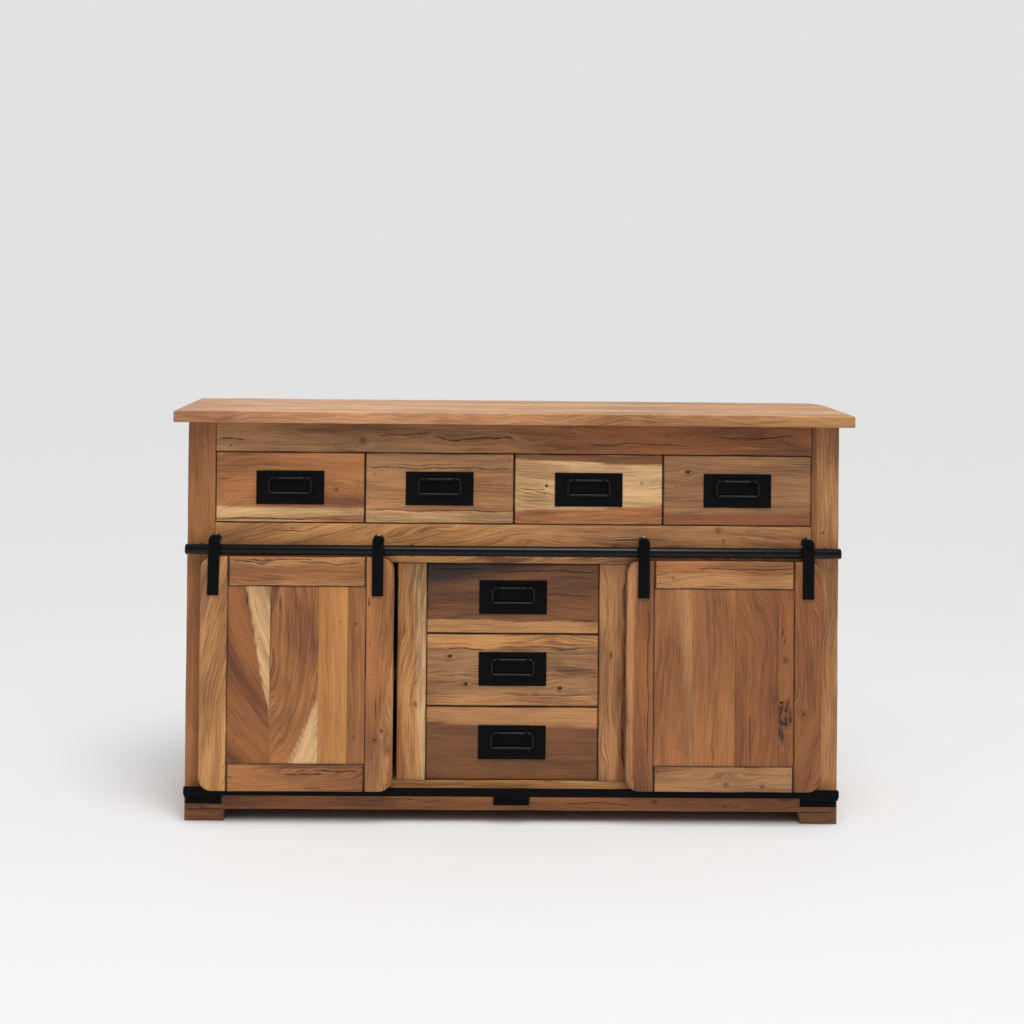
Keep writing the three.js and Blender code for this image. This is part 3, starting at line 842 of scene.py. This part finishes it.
def make_bottom():
    """The floor of the cupboards: a strip between the posts, and four boards behind them."""
    low, high = corners("bottom_board")
    left, right, behind = between_posts()
    front = within(low, high, x0=left, x1=right, y1=behind)
    boards = [board(*front, "x", "-y", "honey", 81, contrast=0.9, cracks=[(0.2, 0.27, 0.6, 1.0)])]
    boards += planks(
        *within(low, high, y0=behind), "y", (80, 70, 75, 76), ("greytan", "tan", "chestnut", "tan"),
        "x", "+z", 82, contrast=0.8, step=25 * MM,
    )
    wooden("bottom_boards", boards, "carcass", "bottom_board")


def make_back():
    woods = ("tan", "greytan", "chestnut", "tan", "honey", "greytan", "tan", "chestnut", "greytan")
    widths = (98, 88, 102, 92, 96, 90, 100, 94, 94)
    rings = ("plain", "arched", "wild")
    looks = [
        dict(wood=wood, rings=rings[i % 3], knots=[(0.12 + 0.083 * i, 0.4 + 0.03 * i, 7)])
        for i, wood in enumerate(woods)
    ]
    boards = planks(*corners("back_panel"), "z", widths, looks, "x", "+y", 91, contrast=0.8, step=16 * MM)
    wooden("back_boards", boards, "carcass", "back_panel")


STILE_LOOKS = {
    "left": dict(
        wood="honey", rings="wild", contrast=1.1, lean=(0.05, -0.12), knots=[(0.35, 0.62, 4)],
        bands=[((0.8, 0.5), (1.0, 1.1), "sapwood"), ((-0.4, -0.2), (0.3, -0.1), "chestnut")],
        pins=[(0.72, 0.9), (0.62, 0.35), (0.5, 0.92), (0.25, 0.25)],
    ),
    "right": dict(
        wood="tan", rings="wild", contrast=1.1, bands=[((0.7, 0.9), 1, "russet")], knots=[(0.58, 0.4, 4)],
        cracks=[(0.05, 0.25, 0.88, 2.6), (0.3, 0.6, 0.93, 1.8), (0.62, 0.98, 0.9, 1.4)],
        pins=[(0.68, 0.2), (0.45, 0.75), (0.2, 0.3)],
    ),
}


def make_center_walls():
    """On each side of the center drawers: the stile in front, the partition behind it, and its runners."""
    stile_width, stile_depth = 64 * MM, 25 * MM
    set_in, partition = 14 * MM, 18 * MM
    runner_reach, runner_length, runner_height, clearance = 15.5 * MM, 297 * MM, 12 * MM, 1 * MM
    deck_low, deck_high = corners("drawer_deck")
    deck_bottom = deck_high[2] - GUIDE_HEIGHT - DECK_THICKNESS
    for side, s in (("left", -1), ("right", 1)):
        low, high = corners(f"{side}_center_wall")
        inner = (high[0] if s > 0 else low[0]) - s * stile_width
        back = low[1] + stile_depth

        def part(start, end, **sides):
            """The wall's box between two distances outwards from the stile's inner side."""
            x0, x1 = sorted((inner + s * start, inner + s * end))
            return within(low, high, x0=x0, x1=x1, **sides)

        stile = part(0, stile_width, y1=back, z1=deck_low[2])
        stile = board(*stile, "z", "-y", seed=110 + s, round_edge=2.0 * MM, **STILE_LOOKS[side])
        wooden(f"{side}_center_stile", [stile], "carcass", f"{side}_center_wall")
        boards = planks(
            *part(set_in, set_in + partition, y0=back, z1=deck_bottom), "y", (1, 1, 1, 1),
            ("tan", "greytan", "tan", "chestnut"), "z", "-x" if s < 0 else "+x", 120 + 5 * s,
            contrast=0.8, step=25 * MM,
        )
        for i in range(3):
            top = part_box(f"center_drawer_{i + 1}_box")[0][2] - clearance
            ends = dict(y0=back, y1=back + runner_length, z0=top - runner_height, z1=top)
            runner = part(-runner_reach, set_in, **ends)
            boards.append(board(*runner, "y", "+z", "honey", 130 + 3 * s + i, contrast=0.7, step=30 * MM))
        wooden(f"{side}_partition_boards", boards, "carcass", f"{side}_center_wall")


def make_shelves():
    for side, seed in (("left", 140), ("right", 145)):
        boards = planks(
            *corners(f"{side}_shelf"), "y", (95, 104, 98), ("umber", "tan", "greytan"), "x", "+z", seed,
            contrast=0.8, step=20 * MM,
        )
        wooden(f"{side}_shelf_boards", boards, "carcass", f"{side}_shelf")


# ---- drawers ------------------------------------------------------------------------------------

CORNER_PINS = [(0.02, 0.1), (0.025, 0.35), (0.975, 0.12), (0.98, 0.4), (0.97, 0.9)]
FRONTS = {
    "top_drawer_1": dict(
        wood="chestnut", rings="wild", lean=(-0.1, 0.1), knots=[(0.81, 0.47, 5)],
        bands=[(0.0, 0.03, "sapwood"), ((0.06, 0.1), (0.22, 0.2), "sapwood")],
        cracks=[(0.0, 0.1, 0.62, 1.0), (0.1, 0.7, 0.045, 1.2)],
        pins=[*CORNER_PINS, (0.94, 0.45), (0.94, 0.25)],
    ),
    "top_drawer_2": dict(
        wood="tan", contrast=0.9, bands=[(0.0, 0.17, "sapwood"), ((0.76, 0.74), 1.0, "greytan")],
        cracks=[(0.02, 0.98, 0.79, 1.5), (0.2, 0.6, 0.84, 1.0), (0.05, 0.9, 0.18, 0.8)],
        pins=[*CORNER_PINS, (0.06, 0.7), (0.05, 0.9), (0.94, 0.6)],
    ),
    "top_drawer_3": dict(
        wood="sapwood", rings="wild", lean=(0.1, -0.1),
        bands=[(0.0, (0.18, 0.27), "chestnut"), ((0.93, 0.86), 1.0, "umber")],
        holes=[(0.215, 0.55, 4.0), (0.2, 0.43, 1.6)], cracks=[(0.02, 0.22, 0.5, 1.0)], knots=[(0.86, 0.6, 4)],
        pins=CORNER_PINS,
    ),
    "top_drawer_4": dict(
        wood="greytan", contrast=0.8, bands=[(0.0, (0.15, 0.19), "russet")], knots=[(0.165, 0.76, 7)],
        holes=[(0.08, 0.55, 1.4), (0.165, 0.76, 5)], cracks=[(0.85, 0.99, 0.9, 0.9)], pins=CORNER_PINS,
    ),
    "center_drawer_1": dict(
        # The front is darker towards the top, in a soft near-black band.
        wood="umber", rings="wild", bands=[(0.0, (0.2, 0.16), "tan"), ((0.68, 1.1), 1.4, "near_black", 18)],
        cracks=[
            (0.68, 0.98, 0.55, 1.2), (0.02, 0.3, 0.93, 1.5), (0.4, 0.98, 0.9, 1.8), (0.84, 0.99, 0.19, 1.4),
        ],
        pins=CORNER_PINS,
    ),
    "center_drawer_2": dict(
        wood="greytan", rings="wild", contrast=1.2, bands=[(0.0, 0.15, "tan"), ((0.8, 0.84), 1.0, "honey")],
        knots=[(0.13, 0.68, 5), (0.225, 0.3, 5), (0.775, 0.24, 6)],
        holes=[(0.135, 0.69, 4.2), (0.228, 0.3, 4.0), (0.778, 0.245, 4.6)],
        cracks=[
            (0.1, 0.35, 0.79, 1.2), (0.7, 0.9, 0.8, 1.6), (0.05, 0.3, 0.42, 1.0), (0.74, 0.99, 0.5, 1.0),
            (0.6, 0.97, 0.15, 1.2),
        ],
        pins=CORNER_PINS,
    ),
    "center_drawer_3": dict(
        wood="umber", contrast=0.7, bands=[((0.78, 0.72), 1.0, "tan")], pins=[(0.02, 0.1), (0.02, 0.9)],
    ),
}


def make_box(name, seed):
    """The drawer's box: two sides, a front and a back between them, and the bottom let in."""
    low, high = corners(f"{name}_box")
    wall, bottom = 12 * MM, 8 * MM
    inside = within(low, high, x0=low[0] + wall, x1=high[0] - wall)
    floor = within(*inside, y0=low[1] + wall, y1=high[1] - wall, z1=low[2] + bottom)
    parts = [
        (within(low, high, x1=low[0] + wall), "y", "-x", "tan"),
        (within(low, high, x0=high[0] - wall), "y", "+x", "greytan"),
        (within(*inside, y1=low[1] + wall), "x", "+y", "tan"),
        (within(*inside, y0=high[1] - wall), "x", "+y", "tan"),
        (floor, "x", "+z", "greytan"),
    ]
    boards = [
        board(*ends, along, face, wood, seed + i, contrast=0.7, round_edge=1.0 * MM, step=26 * MM)
        for i, (ends, along, face, wood) in enumerate(parts)
    ]
    wooden(f"{name}_box_boards", boards, name, f"{name}_box")


def make_pull(name, seed):
    """The plate with its four screws and two lugs, and the ring of rod that hangs in the lugs."""
    rng = np.random.default_rng(seed)
    low, high = corners(f"{name}_pull_plate")
    bail_low, bail_high = corners(f"{name}_pull_bail")
    thickness, lug_reach, screw_reach, screw_inset, screw = 2.25 * MM, 33 * MM, 63 * MM, 12 * MM, 3.6 * MM
    front = high[1] - thickness
    x = (low[0] + high[0]) / 2
    outline = round_rectangle(low[0], high[0], low[2], high[2], 1.2 * MM, 3)
    shapes = [sheet_metal(outline, front, high[1], 0.5 * MM)]
    axis_z = bail_high[2] - 3 * MM
    axis_y = (bail_low[1] + bail_high[1]) / 2
    for side in (-1, 1):
        shapes.append(lug(x + side * lug_reach, axis_y, axis_z, front))
        for z in (low[2] + screw_inset, high[2] - screw_inset):
            shapes.append(screw_head(x + side * screw_reach, front, z, screw, rng.uniform(0, math.pi / 2)))
    metal(f"{name}_plate", shapes, name, f"{name}_pull_plate")
    wire = 2.9 * MM
    ring = round_rectangle(
        bail_low[0] + wire, bail_high[0] - wire, bail_low[2] + wire, bail_high[2] - wire, 6.5 * MM, 8,
    )
    bail = [bent_ring(ring, axis_y, wire)]
    metal(f"{name}_bail", bail, f"{name}_bail", f"{name}_pull_bail", coat=satin_black)


def lug(x, y, z, plate_front):
    """A strap of steel bent over the bail's top bar and back to the plate."""
    outer, inner, half = 5.2 * MM, 3.5 * MM, 4 * MM
    root = plate_front + 0.5 * MM
    arc = [math.radians(90 + 180 * i / 10) for i in range(11)]
    section = [(root, z + outer), *((y + outer * math.cos(a), z + outer * math.sin(a)) for a in arc)]
    section += [(root, z - outer), (root, z - inner)]
    section += [(y + inner * math.cos(a), z + inner * math.sin(a)) for a in reversed(arc)]
    section += [(root, z + inner)]
    return extruded([(x - half, py, pz) for py, pz in section], "x", x + half, 0.35 * MM, 1)


def make_drawers():
    for i, (name, look) in enumerate(FRONTS.items()):
        single(
            f"{name}_face", name, f"{name}_front", "x", 200 + i, round_edge=2 * MM, step=6 * MM, seam=0.75,
            **look,
        )
        make_box(name, 220 + 10 * i)
        make_pull(name, 300 + i)


# ---- sliding doors ------------------------------------------------------------------------------

# Each door's left and right stile, then its top and bottom rail.
FRAMES = {
    "left_door": [
        dict(
            wood="honey", rings="wild", lean=(-0.05, -0.3), bands=[(0, (0.1, 0.4), "tan")],
            pins=[(0.1, 0.9), (0.35, 0.9), (0.62, 0.92)],
        ),
        dict(
            wood="chestnut", rings="wild", lean=(0.02, -0.04), knots=[(0.26, 0.62, 5), (0.22, 0.35, 5)],
            holes=[(0.26, 0.62, 2.0), (0.22, 0.35, 2.4)], bands=[((0.1, 1.6), (0.7, 1.7), "tan")],
            cracks=[(0.3, 0.42, 0.4, 1.0), (0.78, 0.84, 0.1, 2.0)],
            pins=[(0.63, 0.15), (0.5, 0.2), (0.12, 0.15)],
        ),
        dict(
            wood="chestnut", rings="wild",
            bands=[((0.0, 0.05), (0.1, 0.3), "tan"), ((0.6, 0.9), (0.85, 1), "tan")],
            cracks=[(0.02, 0.3, 0.82, 2.4), (0.12, 0.62, 0.9, 2.0), (0.5, 0.97, 0.8, 1.6)],
            pins=[(0.97, 0.3), (0.03, 0.2)],
        ),
        dict(
            wood="chestnut", rings="wild", lean=(0, -0.15), bands=[((0.95, 0.8), 1.0, "russet")],
            cracks=[(0.4, 0.72, 0.6, 1.5), (0.62, 0.97, 0.75, 1.8), (0.55, 0.7, 0.1, 1.2)],
            pins=[(0.98, 0.3), (0.02, 0.5), (0.2, 0.8)],
        ),
    ],
    "right_door": [
        dict(
            wood="russet", lean=(0.03, 0.0), bands=[(0, (0.22, 0.3), "tan")], cracks=[(0.15, 0.8, 0.78, 1.0)],
        ),
        dict(
            wood="russet", rings="wild", lean=(-0.3, 0.2), knots=[(0.34, 0.35, 9)], holes=[(0.56, 0.5, 1.2)],
        ),
        dict(
            wood="tan", rings="wild", bands=[((0.6, 0.5), 1.0, "chestnut")], cracks=[(0.3, 0.98, 0.72, 1.2)],
            knots=[(0.13, 0.42, 4)], pins=[(0.02, 0.5), (0.03, 0.2)],
        ),
        dict(
            wood="greytan", rings="wild", knots=[(0.52, 0.3, 6), (0.78, 0.2, 6)],
            pins=[(0.02, 0.8), (0.97, 0.7)],
        ),
    ],
}

# The panels' boards from left to right, and how wide they are beside each other.
PANELS = {
    "left_door": [
        dict(
            wood="russet", contrast=1.1, lean=(1.1, 0.12), bands=[((1.18, 0.42), 1, "sapwood")],
            cracks=[(0.88, 0.985, 0.46, 2.6), (0.2, 0.24, 0.93, 2.4), (0.1, 0.13, 0.95, 2.4)],
            pins=[(0.78, 0.52), (0.7, 0.72), (0.16, 0.2), (0.13, 0.15)],
        ),
        dict(
            wood="chestnut", rings="wild", contrast=1.2, lean=(-0.5, 0.1),
            bands=[((0.42, 1.95), 1, "sapwood"), (0, (-0.8, 0.2), "umber")],
            cracks=[(0.34, 0.4, 0.93, 2.2), (0.84, 0.96, 0.2, 1.2), (0.55, 0.66, 0.08, 1.4)],
        ),
        dict(wood="amber", contrast=0.45, pins=[(0.24, 0.7), (0.14, 0.6), (0.8, 0.75)]),
        dict(wood="chestnut", contrast=0.7, holes=[(0.79, 0.45, 2.0)], knots=[(0.15, 0.4, 3)]),
    ],
    "right_door": [
        dict(
            wood="chestnut", contrast=0.8, lean=(0.02, -0.18), bands=[((0.95, 0.55), (1.1, 0.9), "tan", 4)],
            pins=[(0.1, 0.5)],
        ),
        dict(wood="chestnut", contrast=0.75, lean=(-0.05, 0.05), cracks=[(0.02, 0.12, 0.5, 1.0)]),
        dict(wood="russet", rings="wild", contrast=0.85, lean=(-0.2, 0.3), cracks=[(0.0, 0.3, 0.35, 0.9)]),
        dict(
            wood="russet", rings="wild", contrast=0.9,
            cracks=[
                (0.72, 0.79, 0.3, 3.0), (0.68, 0.74, 0.52, 3.0), (0.11, 0.38, 0.3, 6.5), (0.2, 0.4, 0.6, 5.5),
                (0.14, 0.36, 0.12, 5.0), (0.22, 0.34, 0.85, 4.5),
            ],
            holes=[(0.3, 0.3, 4), (0.36, 0.2, 4), (0.24, 0.5, 4.5)], knots=[(0.6, 0.5, 7)],
        ),
    ],
}
PANEL_WIDTHS = {"left_door": (93, 106, 64, 39), "right_door": (86, 93, 96, 34)}


def rounded_at_corners(boards, low, high, radius):
    """Pulls the frame's outer corners in to a quarter circle, in x and z."""
    for one in boards:
        points = one["points"]
        for x, s in ((low[0], 1), (high[0], -1)):
            for z, t in ((low[2], 1), (high[2], -1)):
                dx = radius - s * (points[:, 0] - x)
                dz = radius - t * (points[:, 2] - z)
                inside = (dx > 0) & (dz > 0)
                # Squares round the corner become circles: the far point of each square ring is pulled in.
                shrink = np.where(inside, np.maximum(dx, dz) / np.maximum(np.hypot(dx, dz), 1e-9), 1)
                points[:, 0] = np.where(inside, x + s * (radius - dx * shrink), points[:, 0])
                points[:, 2] = np.where(inside, z + t * (radius - dz * shrink), points[:, 2])


def make_doors():
    stile, rail_gap, panel_gap = 61 * MM, 1.4 * MM, 0.5 * MM
    outer, joint = 0.15, 1.1  # how dark the dirt and painted shade are at the frame's outside and in its joints
    for i, name in enumerate(FRAMES):
        seed = 400 + 40 * i
        low, high = corners(f"{name}_frame")
        panel_low, panel_high = corners(f"{name}_panel")
        middle = within(low, high, x0=low[0] + stile + rail_gap, x1=high[0] - stile - rail_gap)
        members = [
            (within(low, high, x1=low[0] + stile), "z", (outer, outer, outer, joint)),
            (within(low, high, x0=high[0] - stile), "z", (outer, outer, joint, outer)),
            (within(*middle, z0=panel_high[2] + panel_gap), "x", (joint, joint, joint, outer)),
            (within(*middle, z1=panel_low[2] - panel_gap), "x", (joint, joint, outer, joint)),
        ]
        boards = [
            board(*ends, along, "-y", seed=seed + j, seam=seam, round_edge=2.8 * MM, step=6 * MM, **look)
            for j, ((ends, along, seam), look) in enumerate(zip(members, FRAMES[name]))
        ]
        rounded_at_corners(boards, low, high, 30 * MM)
        wooden(f"{name}_frame_boards", boards, name, f"{name}_frame")
        boards = planks(
            panel_low, panel_high, "x", PANEL_WIDTHS[name], PANELS[name], "z", "-y", seed + 10,
            round_edge=0.7 * MM, step=6 * MM, seam=0.3,
        )
        wooden(f"{name}_panel_boards", boards, name, f"{name}_panel")
        for number in (1, 2):
            make_hanger(name, number)
            make_roller(name, number)


def make_hanger(door, number):
    """The strap with its washer, bolt, spacer, nut and two screws."""
    low, high = corners(f"{door}_hanger_{number}")
    wheel_low, wheel_high = corners(f"{door}_wheel_{number}")
    x = (low[0] + high[0]) / 2
    axle_z = (wheel_low[2] + wheel_high[2]) / 2
    centre = (x, 0, axle_z)
    half = 12.5 * MM
    front, back = low[1] + 3.25 * MM, low[1] + 7.25 * MM
    arc = [math.radians(180 * i / 24) for i in range(25)]
    outline = [(x - half, low[2]), (x + half, low[2])]
    outline += [(x + half * math.cos(a), axle_z + half * math.sin(a)) for a in arc]
    shapes = [sheet_metal(outline, front, back)]
    on_the_axle = {
        "washer": (8 * MM, front - 0.8 * MM, front + 0.4 * MM, 40, 0.3 * MM),
        "bolt_head": (5.5 * MM, low[1], front + 0.2 * MM, 6, 0.7 * MM),
        "axle": (4 * MM, front + 1 * MM, high[1], 40, 0.6 * MM),
        "spacer": (7 * MM, back - 0.5 * MM, wheel_low[1] - 0.5 * MM, 40, 0.6 * MM),
        "nut": (6.5 * MM, wheel_high[1] + 0.5 * MM, high[1], 6, 0.6 * MM),
    }
    for radius, start, end, sides, edge in on_the_axle.values():
        shapes.append(rod(radius, start, end, centre, "y", sides, edge))
    for i, up in enumerate((25 * MM, 60 * MM)):
        shapes.append(screw_head(x, front, low[2] + up, 4.2 * MM, 0.5 + i))
    if (door, number) == ("left_door", 1):
        lean = Matrix.Rotation(math.radians(1.2), 3, "Y")
        for shape in shapes:
            bmesh.ops.rotate(shape, verts=shape.verts, cent=centre, matrix=lean)
    metal(f"{door}_strap_{number}", shapes, door, f"{door}_hanger_{number}")


def make_roller(door, number):
    """The grooved wheel on the hanger's axle. Its rim is rubbed bare beside the groove."""
    low, high = corners(f"{door}_wheel_{number}")
    rail_low, rail_high = corners("track_rail")
    x, y, z = (low + high) / 2
    radius, half_width = (high[2] - low[2]) / 2, (high[1] - low[1]) / 2
    to_rail = z - (rail_low[2] + rail_high[2]) / 2
    tread = (rail_high[2] - rail_low[2]) / 2 + 0.7 * MM
    bore, edge = 4.2 * MM, 0.3 * MM
    groove = math.sqrt(tread**2 - (to_rail - radius) ** 2)
    profile = [(bore, -half_width), (radius - edge, -half_width), (radius, -half_width + edge)]
    for i in range(17):
        along = -groove + 2 * groove * i / 16
        profile.append((to_rail - math.sqrt(tread**2 - along**2), along))
    profile += [(radius, half_width - edge), (radius - edge, half_width)]
    profile += [(bore, half_width), (bore, -half_width)]
    shape = turned(profile, (x, y, z), "y", 48)

    def on_the_rim(point):
        return smooth_step(math.hypot(point.x - x, point.z - z), radius - 1.5 * MM, radius - 0.1 * MM)

    name = f"{door}_wheel_{number}"
    metal(f"{door}_roller_{number}", [shape], name, name, coat=satin_black, rubbed=on_the_rim)


# ---- track --------------------------------------------------------------------------------------

def make_track():
    """The round rail with eased ends, and the four stand-offs that hold it off the body."""
    low, high = corners("track_rail")
    radius = (high[2] - low[2]) / 2
    y, z = low[1] + radius, (low[2] + high[2]) / 2
    ease = 2.5 * MM
    end = [(0, 0), (radius - ease, 0), (radius - 0.3 * ease, 0.3 * ease), (radius, ease)]
    profile = [(r, low[0] + a) for r, a in end] + [(r, high[0] - a) for r, a in reversed(end)]
    shapes = [turned(profile, (0, y, z), "x", 64)]
    for x in (-690 * MM, -225 * MM, 225 * MM, 690 * MM):
        shapes.append(rod(6 * MM, y + 4 * MM, high[1] - 2.5 * MM, (x, 0, z), "y"))
        shapes.append(rod(10 * MM, high[1] - 3 * MM, high[1], (x, 0, z), "y", edge=0.4 * MM))
    metal("door_track_tube", shapes, "carcass", "track_rail", coat=satin_black)


def make_guide():
    """The flat bar near the floor that the doors' grooves run on, and its three screwed brackets."""
    low, high = corners("guide_bar")
    front, back = low[1], high[1]
    bar_bottom, thickness, web = 63 * MM, 6 * MM, 4 * MM
    bracket_half, screw_pitch = 39.5 * MM, 27 * MM
    outline = round_rectangle(low[0], high[0], bar_bottom, high[2], 2.5 * MM, 5)
    shapes = [sheet_metal(outline, front, front + thickness)]
    for i, x in enumerate((-679 * MM, 0, 679 * MM)):
        x0, x1 = x - bracket_half, x + bracket_half
        shapes.append(block((x0, front, bar_bottom - web), (x1, back, bar_bottom + 0.5 * MM)))
        shapes.append(block((x0, back - web, low[2]), (x1, back, bar_bottom - 1 * MM)))
        for j, offset in enumerate((-screw_pitch, 0, screw_pitch)):
            z = (low[2] + bar_bottom - web) / 2
            shapes.append(screw_head(x + offset, back - web, z, 4 * MM, 0.4 * i + j))
    metal("floor_guide_bar", shapes, "carcass", "guide_bar")


# ---- stage, light and camera --------------------------------------------------------------------

PALE = 0.762  # how bright the floor and the room behind look


def make_floor():
    """A wide pale floor. Painted light: its colour is painted brighter in front, where the lamps' light would
    fall more. Far behind, it takes the tone of the room.
    """
    mesh = bpy.data.meshes.new("floor")
    far = 60
    mesh.from_pydata([(-far, -far, 0), (far, -far, 0), (far, far, 0), (-far, far, 0)], [], [(0, 1, 2, 3)])
    material = bpy.data.materials.new("pale_floor")
    n = Nodes(material)
    # Painted light: the colour runs from brighter in front to the room's tone behind.
    behind = n.ramp(n.split(n.add("ShaderNodeTexCoord", output=3))[1], -2.5, 4.0)
    n.shade({
        "Base Color": n.tint(behind, (0.845, 0.85, 0.855, 1), (0.802, 0.802, 0.807, 1)),
        "Roughness": 0.9,
        "Specular IOR Level": 0.0,
    })
    mesh.materials.append(material)
    add_to_scene(bpy.data.objects.new("floor", mesh))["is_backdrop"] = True


def make_room():
    """A pale room that looks one tone, but lights less from the front and from straight above."""
    world = bpy.data.worlds.new("pale_studio")
    bpy.context.scene.world = world
    from_front, from_above = 0.07, 0.38
    n = Nodes(world)
    side = n.split(n.add("ShaderNodeTexCoord"))
    around = n.ramp(side[1], -0.9, 0.3, from_front, PALE)
    light = n.mix(n.ramp(side[2], 0.15, 0.7), around, from_above)
    seen = n.add("ShaderNodeLightPath")
    n.shade({"Strength": n.mix(seen, light, PALE), "Color": (1, 1, 1.006, 1)})


def make_lamps():
    """A broad overhead light for the soft shadow, and a panel above the front."""
    sun = bpy.data.lights.new("broad_overhead_light", "SUN")
    sun.energy = 1.84
    sun.angle = math.radians(34)
    panel = bpy.data.lights.new("near_soft_panel", "AREA")
    panel.shape = "RECTANGLE"
    panel.size, panel.size_y = 3.4, 2.2
    panel.energy = 31
    for data, place, back in (
        (sun, (0, 0, 0), (0.12, -0.38, 1.0)),
        (panel, (0.2, -2.2, 3.3), (0.0, -0.5, 1.0)),
    ):
        lamp = add_to_scene(bpy.data.objects.new(data.name, data))
        lamp.location = place
        lamp.rotation_euler = Vector(back).to_track_quat("Z", "Y").to_euler()


def make_camera():
    """The camera at the photo's angle: nearly level, with its lens shifted down to the sideboard."""
    place = (-0.1041, -3.9395, 1.2008)
    yaw, lift, roll = (math.radians(a) for a in (0.70, 0.77, 0.55))
    ahead = Vector((math.sin(yaw) * math.cos(lift), math.cos(yaw) * math.cos(lift), math.sin(lift)))
    right = Vector((math.cos(yaw), -math.sin(yaw), 0))
    up = right.cross(ahead)
    tilted_right = right * math.cos(roll) + up * math.sin(roll)
    tilted_up = up * math.cos(roll) - right * math.sin(roll)
    data = bpy.data.cameras.new("camera")
    data.sensor_width = 36
    data.lens = 59.83
    data.shift_x = 0.0212
    data.shift_y = -0.25
    data.clip_end = 100
    camera = add_to_scene(bpy.data.objects.new("camera", data))
    axes = Matrix((tilted_right, tilted_up, -ahead)).transposed()
    camera.matrix_world = Matrix.Translation(place) @ axes.to_4x4()
    bpy.context.scene.camera = camera
    bpy.context.scene.view_settings.view_transform = "Standard"


make_camera()
make_room()
make_lamps()
make_floor()
make_top()
make_posts()
make_side_panels()
make_feet()
make_front_rails()
make_deck()
make_bottom()
make_back()
make_center_walls()
make_shelves()
make_drawers()
make_doors()
make_track()
make_guide()

boxes = {"cad": cad_box, "visual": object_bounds()}
{key: [list(corner) for corner in box] for key, box in boxes.items()}
